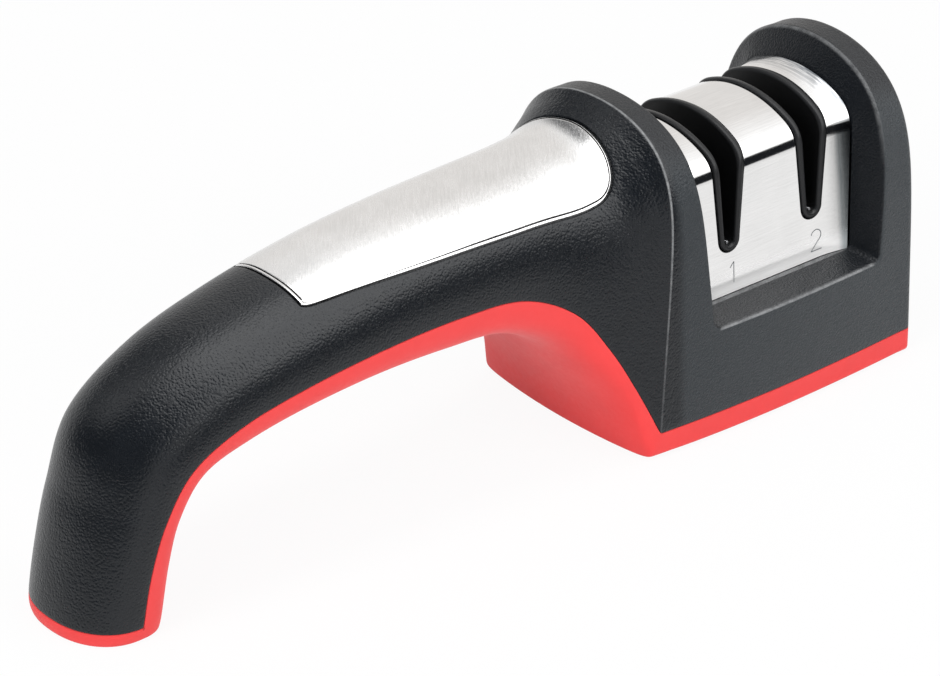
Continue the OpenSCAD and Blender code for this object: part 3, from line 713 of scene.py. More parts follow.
def below_pocket(skin, back, sill, seam):
    """Side faces below the pocket."""
    foot = np.stack([np.linspace(sill[0, 0], sill[-1, 0], len(sill)),
                     np.zeros(len(sill))], -1)
    strip = between(foot, sill, SILL_COLUMN)
    near = back.at(strip[..., 0], strip[..., 1])
    skin.add(near)
    skin.add(mirrored(near))
    skin.add(parting(back.at(foot[:, 0], np.full(len(foot), -1.0)), near[0], seam))


def pocket_walls(skin, back, pocket, outer_loop, r, saddle):
    """Rounded rim of the pocket, then its walls and its sill down to the saddle."""
    curve = SaddleCurve(saddle)
    corner = back.at(pocket.loop[:, 0], pocket.loop[:, 1])
    inner = inner_outline(pocket, corner, curve, saddle)
    step = unit(inner - corner) * r
    skin.add(rolled(lifted(back, outer_loop, 0), corner, corner + step, 5), loop=True)
    skin.add(between(corner + step, inner, 12), loop=True)
    below = inner.copy()
    below[:, 2] = curve.foot[1] - SADDLE_GAP_DEPTH
    skin.add(np.stack([inner, below]), loop=True)


def build_housing(sizes, saddle):
    """Black moulded shell as one closed skin: lofted sections, the inlay's recess, the
    crease, both hoops and the pocket between them."""
    seam = mm(sizes.seam_round)
    back = Half(True, 0.0, seam)
    skin = Patches()
    handle_below(skin, back, seam)
    handle_recess(skin, back, seam)

    # Hollow flank up to the crease, and the crease's rounding.
    r = mm(sizes.crease_round)
    crease = np.full_like(COLUMNS, CREASE)
    before = reach(back, crease, COLUMNS, r, -1)
    after = reach(back, crease, COLUMNS, r, 1)
    shell_rows(skin, back, column_at(PANEL_HIGH), column_at(before), 6, seam)
    fold = [back.at(t, COLUMNS) for t in (before, crease, after)]
    skin.add_shell(rolled(*fold, 5), seam)

    # Head round the pocket, whose outline is drawn away from it by the rounding.
    pocket = PocketOutline(back, sizes)
    away = away_from(back, pocket.loop)
    if away[ACROSS // 2 - SILL_COLUMN, 0] > 0:
        away = -away
    r = mm(sizes.edge_round)
    outer_loop = moved(back, pocket.loop, away * r)
    front, sill, rear = pocket.parts(outer_loop)
    shell_rows(skin, back, column_at(after), pocket_column(front), 12, seam)
    shell_rows(skin, back, pocket_column(rear), column_at(REAR), 11, seam)
    end = rear_rows(back, COLUMNS, mm(sizes.rear_round), mm(sizes.head_rear))
    skin.add_shell(end, seam)
    below_pocket(skin, back, sill, seam)
    pocket_walls(skin, back, pocket, outer_loop, r, saddle)
    return skin.make("housing_shell")


# Gaps between the saddle and the shell in millimetres: beside its face, past its edges and
# below its foot. The share of a corner's height that is left where its wall meets the saddle.
SADDLE_GAP = 0.3
EDGE_GAP = 0.2
SADDLE_GAP_DEPTH = 1.2
SILL_FALL = 0.48
# Height in millimetres from which the saddle's rear edge is upright.
UPRIGHT_Z = 57.0


def rear_edge(z, saddle):
    """Rear edge of the saddle at height z: it leans back with the hoop, and is upright above
    the bend."""
    return mm(saddle.rear) - saddle.rear_lean * np.clip(UPRIGHT_Z - z, 0, 40)


def curl_of(x, z, saddle):
    """How far the sheet has curled out at x: it grows with the square of the distance."""
    t = np.clip(1 - (rear_edge(z, saddle) - x) / mm(saddle.curl_length), 0, 1)
    return mm(saddle.curl) * t ** 2


def inner_outline(pocket, corner, curve, saddle):
    """Loop round the saddle that the pocket's outline is joined to by straight walls."""
    front, sill, rear = pocket.parts(corner)

    def by_height(points, x):
        """Foot of the wall beside the saddle's straight side, for the pocket's corners."""
        z = curve.foot[1] + SILL_FALL * (points[:, 2] - pocket.sill_z)
        y, z_out = curve.at(curve.place(z), -SADDLE_GAP - curl_of(x, z, saddle))
        return np.stack([x, y, z_out], -1)

    def upright(points, x_of, d, arc):
        """Near half of an upright wall's inner edge, mirrored to the whole."""
        half = (len(points) - 1) // 2
        low = by_height(points[:arc + 1], x_of(points[:arc + 1], True))
        p = np.linspace(curve.place(low[-1, 2]), 0.5, half - arc + 1)[1:]
        y, z = curve.at(p, d)
        high = np.stack([np.zeros_like(y), y, z], -1)
        high[:, 0] = x_of(high, False)
        near = np.concatenate([low, high])
        return np.concatenate([near, mirrored(near[:-1])[::-1]])

    arc = pocket.arc_steps
    ahead = upright(front, lambda q, low: q[:, 0] if low else pocket_front(q[:, 2]),
                    -EDGE_GAP, arc)
    shift = rear_edge(rear[arc, 2], saddle) + EDGE_GAP - rear[arc, 0]
    behind = upright(rear, lambda q, low: q[:, 0] + shift if low
                     else rear_edge(q[:, 2], saddle) + EDGE_GAP,
                     -SADDLE_GAP - mm(saddle.curl), arc)
    k = np.clip((sill[:, 0] - sill[-1, 0]) / 4 + 1, 0, 1)
    foot = by_height(sill, sill[:, 0] + shift * k)
    return np.concatenate([
        ahead[:-1], mirrored(foot)[:-1], behind[::-1][:-1], foot[::-1][:-1]])


def build_underside(sizes):
    """Red shell as one closed skin: the strip under the handle, the foot, the hollow front
    wall and the base band."""
    seam = mm(sizes.seam_round)
    gap = mm(sizes.seam_gap)
    belly = Half(False, gap, seam)
    back = Half(True, 0.0, seam)
    skin = Patches()
    columns = COLUMNS
    body = columns[1:-1]

    # Strip, front wall and band.
    t = np.linspace(FOOT, CREASE, 130)[:-2, None]
    crease = np.full_like(columns, CREASE)
    before = reach(belly, crease, columns, 0.5, -1)
    after = reach(belly, crease, columns, 0.5, 1)
    rows = np.concatenate([np.minimum(t, before[None, :]), before[None, :]])
    strip = belly.at(rows, columns[None, :])
    skin.add_shell(strip, seam)
    fold = [belly.at(t, columns) for t in (crease, after)]
    skin.add_shell(rolled(strip[-1], *fold, 4), seam)
    shell_rows(skin, belly, column_at(after), column_at(REAR), 39, seam)
    end = rear_rows(belly, columns, mm(sizes.rear_round), mm(sizes.head_rear))
    skin.add_shell(end, seam)

    # Foot, all round.
    squeeze = np.array([1, 1, (FOOT_HEIGHT - gap) / FOOT_HEIGHT])
    high = (FOOT_HEIGHT - gap - seam) / (FOOT_HEIGHT - gap)
    t = np.linspace(0.18, high, 9)[:, None]
    outside = back.at(t, columns[None, :]) * squeeze
    inside = belly.at(t, body[None, ::-1])
    ring = np.concatenate([outside, inside], axis=1)
    skin.add(ring, loop=True)
    base = np.concatenate([back.at(columns * 0, columns), belly.at(body * 0, body[::-1])])
    centre = base.mean(axis=0)

    def inward(points, along):
        """Level unit directions across the line of points, towards the foot's centre."""
        way = np.cross(unit(along), np.array([0, 0, 1.0]))
        return way * np.sign((way * (centre - points)).sum())

    around = np.roll(base, -1, axis=0) - np.roll(base, 1, axis=0)
    skin.add(rolled(ring[0], base, base + inward(base, around) * 0.5, 4), loop=True)
    top = back.at(columns * 0 + FOOT, columns) * squeeze
    skin.add(rolled(outside[-1], top, top + inward(top, np.gradient(top, axis=0)) * seam, 3))
    skin.add(np.stack([belly.at(body * 0 + high, body), belly.at(body * 0 + FOOT, body)]))
    return skin.make("underside_shell")


def build_inlay(sizes):
    """Steel inlay as one closed sheet on the back of the handle: outer wall set in from the
    housing by a gap that widens round the tip, folded strip, narrow groove, then a plain field
    that follows the lofted surface."""
    back = Half(True, 0.0, mm(sizes.seam_round))
    outline = InlayOutline(back)
    away = -away_from(back, outline.loop)
    tip = np.clip((outline.loop[:, 0] - 10.3) / 0.8, 0, 1)[:, None]
    tip = tip * tip * (3 - 2 * tip)
    gap = 0.11 + 0.2 * tip
    strip = 0.6 - 0.45 * tip
    skin = Patches()

    def ring(d, h):
        """Loop moved outwards by d and raised by h."""
        return lifted(back, moved(back, outline.loop, away * d), h)

    proud, low, cut = 0.1, -0.9, 0.26
    inner = moved(back, outline.loop, away * -(gap + strip + 0.5))
    skin.add(rolled(ring(-gap, -0.2), ring(-gap, proud), ring(-gap - 0.2, proud), 5), loop=True)
    side = gap + strip
    outer = [ring(-gap - 0.2, proud), ring(-side + 0.05, proud), ring(-side, proud - 0.05)]
    groove = [outer[-1], ring(-side - 0.01, proud - 0.32), ring(-side - cut, proud - 0.32),
              ring(-side - cut - 0.01, proud - 0.05)]
    skin.add(np.stack(outer), loop=True)
    # The groove takes finish 1, painted near black as shade.
    skin.add(np.stack(groove), loop=True, finish=1)
    skin.add(np.stack([groove[-1], ring(-side - cut - 0.08, proud),
                       lifted(back, inner, proud)]), loop=True)
    skin.add(lifted(back, patch_inside(*outline.edges(inner)), proud))
    skin.add(np.stack([ring(-gap, -0.2), ring(-gap, low), lifted(back, inner, low)]), loop=True)
    skin.add(lifted(back, patch_inside(*outline.edges(inner)), low))
    return skin.make("handle_inlay", sharp=60)


class Slot:
    """Side view of one slot: half width and middle at a height, from foot circle and flare."""

    def __init__(self, sizes, number, saddle):
        """Takes the slot's sizes over in millimetres."""
        self.x = mm(sizes.coarse_x) + number * mm(sizes.pitch)
        self.foot_z = mm(sizes.foot_z)
        self.rise = mm(saddle.crown) - self.foot_z
        self.lean = sizes.lean

    def middle(self, z):
        """Middle of the slot at height z."""
        return self.x + np.maximum(z - self.foot_z, 0) * self.lean

    def half(self, z, r, top):
        """Half width at height z: circle of radius r below the foot's centre, flare above."""
        up = r + (z - self.foot_z) * (top - r) / self.rise
        round_part = np.sqrt(np.maximum(r ** 2 - (self.foot_z - z) ** 2, 0))
        return np.where(z > self.foot_z, up, round_part)


class SlotEdge:
    """Loop round one slot on the saddle, between an inner and an outer outline. Each outline
    is a foot circle and a straight flare, given as foot radius and half width at the crown."""

    def __init__(self, curve, slot, saddle, inner, outer):
        """Lists places up the saddle and both half widths there."""
        self.curve, self.slot, self.saddle = curve, slot, saddle
        turn = np.linspace(0, math.pi / 2, 13)
        bend_z = curve.bend_start(0)[1]
        side = curve.place(np.linspace(slot.foot_z, bend_z, 22)[1:])
        bend = side[-1] + np.linspace(0, curve.bend_run / (2 * curve.half), 15)[1:]
        up = np.concatenate([side, bend, np.linspace(bend[-1], 0.5, 26)[1:]])
        self.places, self.halves = [], []
        z = curve.at(up, 0.0)[1]
        for r, top in (inner, outer):
            round_foot = curve.place(slot.foot_z - r * np.cos(turn))
            self.places.append(np.concatenate([round_foot, up]))
            self.halves.append(np.concatenate([r * np.sin(turn), slot.half(z, r, top)]))

    def arm(self, w, d, sign):
        """One side of the loop at w between the outlines, d inside the sheet's face."""
        p = (1 - w) * self.places[0] + w * self.places[1]
        half = (1 - w) * self.halves[0] + w * self.halves[1]
        z = self.curve.at(p, d)[1]
        x = self.slot.middle(z) + sign * half
        y, z = self.curve.at(p, d - curl_of(x, z, self.saddle))
        return np.stack([x, y, z], -1)

    def loop(self, w, d):
        """Near half of the loop, from the crown down, round the foot and up again."""
        return np.concatenate([self.arm(w, d, -1)[::-1], self.arm(w, d, 1)[1:]])


# Gap between a slot's rim and the saddle, and the narrow faces beside the saddle's rolled
# edges, which keep its flat faces evenly shaded: share of a strip's width, and millimetres.
RIM_GAP = 0.2
NARROW = 0.006
NARROW_ROW = 0.06


def build_saddle(saddle, sizes):
    """Steel saddle as one closed sheet: three strips between the slots, joined below them, on
    its outer and its inner face, with the edges between the faces rolled in first."""
    curve = SaddleCurve(saddle)
    slots = [Slot(sizes, k, saddle) for k in (0, 1)]
    roll, sheet = mm(saddle.edge_round), mm(saddle.sheet)
    r, top = mm(sizes.rim_r) + RIM_GAP, mm(sizes.rim_top_half) + RIM_GAP
    edges = [SlotEdge(curve, slot, saddle, (r, top), (r + roll, top + roll)) for slot in slots]
    skin = Patches()

    def cuts(w, d):
        """Places up the sheet and x of its six edges there, at w between the two outlines."""
        reach = r + roll * w
        top_row = slots[0].foot_z - reach - NARROW_ROW
        low = curve.place(np.linspace(curve.foot[1], top_row, 12))
        near = np.concatenate([low, (1 - w) * edges[0].places[0] + w * edges[0].places[1]])
        half = np.concatenate([0 * low, (1 - w) * edges[0].halves[0] + w * edges[0].halves[1]])
        p = np.concatenate([near, 1 - near[:-1][::-1]])
        half = np.concatenate([half, half[:-1][::-1]])
        z = curve.at(p, d)[1]
        x = [pocket_front(z) + 0.25 + roll * w]
        for slot in slots:
            x += [slot.middle(z) - half, slot.middle(z) + half]
        return p, x + [rear_edge(z, saddle) - roll * w]

    def face(x, p, d):
        """Columns at x along the sheet, d inside its outer face."""
        y, height = curve.at(p + 0 * x, d - curl_of(x, curve.at(p, d)[1], saddle))
        return np.stack([x, y, height], -1)

    for a, b, count in ((0, 1, 12), (2, 3, 18), (4, 5, 26)):
        f = np.linspace(0, 1, count + 1)[1:-1]
        f = np.concatenate([[0, NARROW], f, [1 - NARROW, 1]])[:, None]
        faces = []
        for w, d in ((1, 0.0), (0, sheet)):
            p, x = cuts(w, d)
            faces.append(face((1 - f) * x[a] + f * x[b], p, d))
            skin.add(faces[-1])
        for end in (0, -1):
            skin.add(np.stack([grid[:, end] for grid in faces]))
    turn = np.linspace(0, math.pi / 2, 4)
    profile = [(1 - math.sin(a), roll * (1 - math.cos(a))) for a in turn] + [(0, sheet)]
    for number in (0, 5):
        rows = []
        for w, d in profile:
            p, x = cuts(w, d)
            rows.append(face(x[number], p, d))
        skin.add(np.stack(rows))
    # The rolled edges round the slots take finish 1, painted near black as the shade of the gap
    # beside the rims.
    for edge in edges:
        rows = np.stack([edge.loop(w, d) for w, d in profile])
        skin.add(rows, finish=1)
        skin.add(mirrored(rows), finish=1)
    return skin.make("saddle_sheet", sharp=60)


# Faces from the lowest point of a channel to either end of its window.
WINDOW_REACH = 22


def trough(skin, curve, slot, saddle, sizes):
    """Adds one slot of the insert as a closed skin: channel through the head, rounded rim,
    outer wall. The rim's profile is swept round the loop between slot and rim outlines."""
    proud = mm(sizes.rim_proud)
    rnd = mm(sizes.rim_round)
    r_in, r_out = mm(sizes.slot_r), mm(sizes.rim_r)
    edge = SlotEdge(curve, slot, saddle, (r_in, mm(sizes.slot_top_half)),
                    (r_out, mm(sizes.rim_top_half)))
    round_w = rnd / (r_out - r_in)
    k = np.linspace(0, math.pi / 2, 6)
    profile = [(0.0, -proud + rnd)]
    profile += [(round_w * (1 - math.cos(a)), -proud + rnd * (1 - math.sin(a))) for a in k[1:]]
    profile += [(0.5, -proud)]
    profile += [(1 - round_w * (1 - math.sin(a)), -proud + rnd * (1 - math.cos(a))) for a in k]
    near = np.stack([edge.loop(w, d) for w, d in profile])
    skin.add(near)
    skin.add(mirrored(near))
    inner = channel(near[0])
    outer = channel(near[-1])
    mid = near.shape[1] // 2
    a, b = 7, inner.shape[0] - 8
    c, d = mid - WINDOW_REACH, mid + WINDOW_REACH
    # The channel's faces take finish 1: the insert's colour darkened, painted shade inside the
    # slot.
    for grid in (inner, outer):
        for piece in (grid[:a + 1], grid[b:], grid[a:b + 1, :c + 1], grid[a:b + 1, d:]):
            skin.add(piece, finish=1)
    for row in (a, b):
        skin.add(np.stack([inner[row, c:d + 1], outer[row, c:d + 1]]), finish=1)
    for column in (c, d):
        skin.add(np.stack([inner[a:b + 1, column], outer[a:b + 1, column]]), finish=1)


def channel(edge):
    """Ruled surface through the head between a near edge and its mirror image."""
    y = np.concatenate([np.linspace(-1, -0.28, 8), np.linspace(-0.28, 0.28, 5)[1:-1],
                        np.linspace(0.28, 1, 8)])
    grid = np.repeat(edge[None], len(y), axis=0)
    grid[..., 1] = np.abs(edge[None, :, 1]) * y[:, None]
    return grid


def build_insert(saddle, sizes):
    """Black slot insert: two rimmed channels, each a closed skin with a window in its middle
    for the wheels."""
    curve = SaddleCurve(saddle)
    whole = Patches()
    for number in (0, 1):
        slot = Slot(sizes, number, saddle)
        trough(whole, curve, slot, saddle, sizes)
        foot_wires(whole, curve, slot, mm(sizes.slot_r))
    return whole.make("slot_insert", sharp=40, close=False)


def foot_wires(skin, curve, slot, r):
    """Polished wire in the bottom of one channel, at both ends: a circle carried along y
    between two pole points."""
    z = slot.foot_z - r + 0.28
    start = curve.at(curve.place(z), 0.4)[0]
    run = start + np.array([0, 0, 0.05, 0.2, 4.8, 4.95, 5, 5])
    size = np.array([0, 0.2, 0.32, 0.38, 0.38, 0.32, 0.2, 0])
    a = np.linspace(0, 2 * math.pi, 13)[:-1]
    tube = np.stack([slot.x + size[:, None] * np.cos(a), run[:, None] + 0 * a,
                     z + size[:, None] * np.sin(a)], -1)
    skin.add(tube, loop=True, finish=2)
    skin.add(mirrored(tube), loop=True, finish=2)


def cell_block(x, y, z, solid):
    """Closed block of upright cells between the given cuts; solid tells which cells are full.
    A face stands wherever a full cell meets an empty one."""
    work = Patches()
    full = np.zeros((len(x) + 1, len(y) + 1), bool)
    full[1:-1, 1:-1] = solid

    def wall(corners):
        """One face from four corners."""
        work.add(np.array(corners, float).reshape(2, 2, 3))

    for i in range(len(x) - 1):
        for j in range(len(y) - 1):
            if solid[i][j]:
                for h in z:
                    wall([[x[i], y[j], h], [x[i], y[j + 1], h],
                          [x[i + 1], y[j], h], [x[i + 1], y[j + 1], h]])
    for i in range(len(x)):
        for j in range(len(y) - 1):
            if full[i, j + 1] != full[i + 1, j + 1]:
                wall([[x[i], y[j], z[0]], [x[i], y[j + 1], z[0]],
                      [x[i], y[j], z[1]], [x[i], y[j + 1], z[1]]])
    for i in range(len(x) - 1):
        for j in range(len(y)):
            if full[i + 1, j] != full[i + 1, j + 1]:
                wall([[x[i], y[j], z[0]], [x[i + 1], y[j], z[0]],
                      [x[i], y[j], z[1]], [x[i + 1], y[j], z[1]]])
    return work


def build_block(sizes):
    """Lower block of the slot insert with two rooms for the wheels, placed from the boxes of
    its cover and of the wheels."""
    low, high = [np.array(c) * 1000 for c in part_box("cassette_cover")]
    x = [low[0] - 0.3]
    for name in ("coarse", "fine"):
        x += [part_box(name + "_disc_1")[0].x * 1000 - 0.35,
              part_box(name + "_disc_4")[1].x * 1000 + 0.35]
    x.append(high[0] + 0.3)
    y = [-high[1] - 0.3, -4.75, 4.75, high[1] + 0.3]
    solid = [[True] * 3, [True, False, True], [True] * 3, [True, False, True], [True] * 3]
    work = cell_block(x, y, (high[2], high[2] + 16.5), solid)
    obj = work.make("insert_block", sharp=30, close=False)
    edge = obj.modifiers.new("Edges", "BEVEL")
    edge.width = 0.0003
    edge.segments = 2
    edge.limit_method = "ANGLE"
    return obj


DIGIT_ONE = [[(-0.22, 0.26), (0.0, 0.5), (0.0, -0.5)]]
DIGIT_TWO = [[
    (0.30 * math.cos(a), 0.22 + 0.28 * math.sin(a)) for a in np.linspace(2.9, -0.75, 22)
] + [(-0.30, -0.48)], [(-0.30, -0.48), (0.34, -0.48)]]


def build_digits(saddle, sizes):
    """Thin strokes of the digits 1 and 2 on the saddle's near side: each stroke is a ribbon
    of constant width along its path, laid on the sheet and just proud of it."""
    curve = SaddleCurve(saddle)
    height = mm(sizes.digit_height)
    skin = Patches()
    for strokes, x_mid, z_mid in ((DIGIT_ONE, 58.35, 29.9), (DIGIT_TWO, 81.3, 29.5)):
        for stroke in strokes:
            path = np.array(stroke) * height
            steps = [np.linspace(a, b, 5)[:-1] for a, b in zip(path[:-1], path[1:])]
            path = np.concatenate(steps + [path[-1:]])
            along = unit(np.gradient(path, axis=0))
            across = np.stack([-along[:, 1], along[:, 0]], -1) * 0.11
            sides = [path + across, path - across]
            ribs = []
            for side, lift in ((sides[0], 0.0), (sides[0], 0.012), (sides[1], 0.012),
                               (sides[1], 0.0)):
                x = x_mid + side[:, 0] + side[:, 1] * 0.05
                z = z_mid + side[:, 1]
                y, z = curve.at(curve.place(z), -0.004 - lift - curl_of(x, z, saddle))
                ribs.append(np.stack([x, y, z], -1))
            skin.add(np.stack(ribs, axis=1), loop=True)
    return skin.make("slot_digits", sharp=30, weld=0.0001)


# ---- Materials ---------------------------------------------------------------------------

class Nodes:
    """A tree of shader nodes with short calls for the ones that are used again and again."""

    def __init__(self, tree):
        """Takes over a tree and empties it."""
        self.tree = tree
        tree.nodes.clear()

    def node(self, kind, inputs=None, **settings):
        """New node with its settings; an input is a value or another node's output."""
        node = self.tree.nodes.new(kind)
        for key, value in settings.items():
            setattr(node, key, value)
        for key, value in (inputs or {}).items():
            if isinstance(value, bpy.types.NodeSocket):
                self.tree.links.new(value, node.inputs[key])
            else:
                node.inputs[key].default_value = value
        return node

    def fit(self, value, low, high, to_low=0.0, to_high=1.0, smooth=False):
        """Maps a value from one range to another and holds it there."""
        return self.node("ShaderNodeMapRange", {
            0: value, 1: low, 2: high, 3: to_low, 4: to_high},
            interpolation_type="SMOOTHSTEP" if smooth else "LINEAR").outputs[0]

    def sum(self, kind, a, b=0.0):
        """One arithmetic step on two values, or on one."""
        return self.node("ShaderNodeMath", {0: a, 1: b}, operation=kind).outputs[0]

    def product(self, first, *others):
        """All the values multiplied."""
        for other in others:
            first = self.sum("MULTIPLY", first, other)
        return first

    def near(self, value, centre, wide, narrow):
        """One where a value is within narrow of the centre, nothing past wide."""
        return self.fit(self.sum("ABSOLUTE", self.sum("SUBTRACT", value, centre)), wide, narrow)

    def mix(self, factor, low, high):
        """Colour between two colours."""
        return self.node("ShaderNodeMix", {0: factor, 6: low, 7: high},
                         data_type="RGBA").outputs[2]


class Finish(Nodes):
    """A procedural material: a principled shader and the nodes that feed it."""

    def __init__(self, name, metallic=0.0, **sockets):
        """Makes the material, or takes over the one of that name."""
        self.material = bpy.data.materials.get(name) or bpy.data.materials.new(name)
        self.material.use_nodes = True
        super().__init__(self.material.node_tree)
        self.shader = self.node("ShaderNodeBsdfPrincipled")
        self.shader.inputs["Metallic"].default_value = metallic
        for key, value in sockets.items():
            self.shader.inputs[key.replace("_", " ")].default_value = value
        self.output = self.node("ShaderNodeOutputMaterial")
        self.tree.links.new(self.shader.outputs[0], self.output.inputs[0])
        self.place = self.node("ShaderNodeTexCoord").outputs["Object"]

    def turned(self, scale=(1, 1, 1), turn=(0, 0, 0), shift=(0, 0, 0)):
        """Object coordinates turned, then stretched, for brushing and turned marks."""
        first = self.node("ShaderNodeMapping", {0: self.place, 2: turn, 1: shift})
        return self.node("ShaderNodeMapping", {0: first.outputs[0], 3: scale}).outputs[0]

    def noise(self, size, detail=2.0, roughness=0.5, place=None):
        """Soft noise with patches of the given size in metres."""
        return self.node("ShaderNodeTexNoise", {
            "Vector": place or self.place, "Scale": 1 / size, "Detail": detail,
            "Roughness": roughness}).outputs[0]

    def cells(self, size, feature="SMOOTH_F1"):
        """Distance inside round cells of the given size in metres."""
        return self.node("ShaderNodeTexVoronoi", {
            "Vector": self.place, "Scale": 1 / size}, feature=feature).outputs[0]

    def axis(self, number):
        """One coordinate of the place."""
        return self.node("ShaderNodeSeparateXYZ", {0: self.place}).outputs[number]

    def feed(self, socket, value):
        """Leads a node's output into one of the shader's inputs."""
        self.tree.links.new(value, self.shader.inputs[socket])
        return value

    def colour(self, factor, low, high):
        """Shader colour between two colours."""
        return self.feed("Base Color", self.mix(factor, low, high))

    def uneven(self, size, detail, low, high):
        """Roughness that varies between two values in patches of the given size."""
        self.feed("Roughness", self.fit(self.noise(size, detail), 0.3, 0.7, low, high))

    def bump(self, height, distance, strength=1.0, below=None):
        """Bump of a height in metres; bumps are stacked by passing the one below."""
        inputs = {"Height": height, "Distance": distance, "Strength": strength}
        if below is not None:
            inputs["Normal"] = below
        return self.feed("Normal", self.node("ShaderNodeBump", inputs).outputs[0])


def tinted(colour, factor):
    """A colour made lighter or darker, with its alpha."""
    return tuple(min(c * factor, 1.0) for c in colour[:3]) + (1.0,)


# Marks of the black shell in metres. Where the head's grain and its painted floor reflection
# take over from the handle's along x, and how squarely a face looks sideways to be one of the
# head's sides, which take that painted reflection.
HEAD_GRAIN = (0.0355, 0.0385)
SIDEWAYS = (0.6, 0.93)
# The crease and the rear hoop's front edge, with painted highlights: x on the ground and lean
# for each unit of height.
CREASE_PLANE = (0.03105, 0.08125)
HOOP_PLANE = (0.08988, 0.0805)
# Height of the sill's outer edge, half width and height of its inner edge, and the pocket's
# front and rear ends, where the sill's pale lines, painted highlights that are partly wear,
# fade out.
SILL_EDGE_Z = 0.0242
SILL_FOOT_Y = 0.0188
SILL_FOOT_Z = 0.0254
POCKET_FRONT = (0.0465, 0.0475)
POCKET_REAR = (0.0905, 0.0895)
# The front hoop's front wall with its wrinkles: where they grow in and where they end.
WRINKLES = (0.010, 0.028)
WRINKLES_END = (0.0375, 0.0355)
# Colours of the painted reflection of the floor on the head's sides at their front and rear
# end, and of the pale edge lines, painted highlights that are partly wear.
SIDE_REFLECTION_FRONT = (0.021, 0.0255, 0.0295, 1)
SIDE_REFLECTION_REAR = (0.032, 0.037, 0.041, 1)
EDGE_WEAR_AND_HIGHLIGHT = (0.2, 0.205, 0.21, 1)


def finish_black(colour, grain):
    """Moulded black plastic with leather grain: pebbles on the handle, a finer grain on the
    head's sides, which are painted paler towards the rear as a painted reflection of the floor,
    wider wrinkles on the front wall of the hoop, and thin pale lines along the crease, the rear
    hoop and both edges of the sill: painted highlights, partly wear."""
    m = Finish("black_shell", Specular_IOR_Level=0.42)
    x, y, z = m.axis(0), m.axis(1), m.axis(2)
    facing = m.node("ShaderNodeSeparateXYZ", {
        0: m.node("ShaderNodeNewGeometry").outputs["Normal"]}).outputs[1]
    aside = m.fit(m.sum("ABSOLUTE", facing), *SIDEWAYS, smooth=True)
    head = m.fit(x, *HEAD_GRAIN, smooth=True)
    half_width = m.sum("ABSOLUTE", y)

    def leaning(start, lean):
        """x of a plane that leans back with height."""
        return m.sum("ADD", m.sum("MULTIPLY", z, lean), start)

    # Pale lines painted along the crease, the rear hoop's front edge and both edges of the
    # sill: painted highlights of rounded edges, partly wear.
    crease = m.product(m.near(x, leaning(*CREASE_PLANE), 0.0003, 0.0001),
                       m.fit(z, 0.015, 0.055, 0.25, 1.0))
    hoop = m.product(m.near(x, leaning(*HOOP_PLANE), 0.0004, 0.00015),
                     m.fit(z, 0.045, 0.06, 0.0, 0.6))
    sill = m.product(m.near(z, SILL_EDGE_Z, 0.0003, 0.00012),
                     m.fit(half_width, 0.0245, 0.0255))
    foot = m.product(m.near(half_width, SILL_FOOT_Y, 0.0006, 0.0004),
                     m.near(z, SILL_FOOT_Z, 0.0009, 0.0006), 0.9)
    sill = m.product(m.sum("MAXIMUM", sill, foot), m.fit(x, *POCKET_FRONT),
                     m.fit(x, *POCKET_REAR))
    wear_and_highlight = m.product(m.sum("MAXIMUM", m.sum("MAXIMUM", crease, hoop), sill),
                     m.fit(m.noise(0.0018, 3), 0.3, 0.6, 0.45, 1.0))
    tone = m.mix(m.noise(0.004, 3), tinted(colour, 0.8), tinted(colour, 1.25))
    # Painted reflection of the floor: the head's sideways faces are painted paler, more so
    # towards the rear.
    side = m.mix(m.fit(x, 0.04, 0.1), SIDE_REFLECTION_FRONT, SIDE_REFLECTION_REAR)
    m.colour(wear_and_highlight, m.mix(m.product(head, aside), tone, side), EDGE_WEAR_AND_HIGHLIGHT)

    front = m.product(m.fit(x, *WRINKLES, smooth=True), m.fit(x, *WRINKLES_END))
    pebbles = m.fit(m.cells(grain), 0.05, 0.6, smooth=True)
    waves = m.noise(grain * 2.6, 2, 0.6)
    fine = m.fit(m.noise(grain * 0.9, 2, 0.6), 0.3, 0.7)
    handle = m.sum("SUBTRACT", 1.0, m.product(head, 0.7))
    below = m.bump(m.product(pebbles, handle), 0.00009, 0.5)
    below = m.bump(m.product(waves, m.sum("ADD", front, 0.12)), 0.00026, 0.35, below)
    m.bump(m.product(fine, m.sum("ADD", head, 0.2)), 0.00016, 0.6, below)
    m.feed("Roughness", m.sum(
        "ADD", m.fit(m.noise(grain * 0.8, 2), 0.3, 0.7, 0.25, 0.34), m.product(head, 0.06)))
    return m.material


def finish_red(colour, grain):
    """Soft-touch red plastic: dull, with a faint fine grain and slight unevenness of tone."""
    m = Finish("red_shell", Specular_IOR_Level=0.35)
    m.colour(m.noise(0.006, 4), tinted(colour, 0.93), tinted(colour, 1.04))
    m.uneven(0.0011, 2, 0.56, 0.66)
    below = m.bump(m.cells(grain * 0.6), 0.00003, 0.35)
    m.bump(m.noise(0.0015, 2), 0.00006, 0.2, below)
    m.shader.inputs["Sheen Weight"].default_value = 0.12
    m.shader.inputs["Sheen Roughness"].default_value = 0.5
    return m.material


# Marks of the saddle in metres: x where the painted shade of the curled rear end grows in, the
# heights between which it passes from the side to the arch, and the heights between which the
# foot turns metallic.
REAR_SHADE_X = (0.0868, 0.0885)
REAR_SHADE_SIDE_Z = (0.0545, 0.0525)
REAR_SHADE_ARCH_Z = (0.0545, 0.0565)
DULL_FOOT_Z = (0.0262, 0.0315)
# Colours of that painted shade on the side, on the arch and in the last strip before the rear
# edge.
REAR_SHADE_SIDE = (0.40, 0.43, 0.44, 1)
REAR_SHADE_ARCH = (0.16, 0.175, 0.195, 1)
REAR_SHADE_LAST = (0.08, 0.088, 0.095, 1)


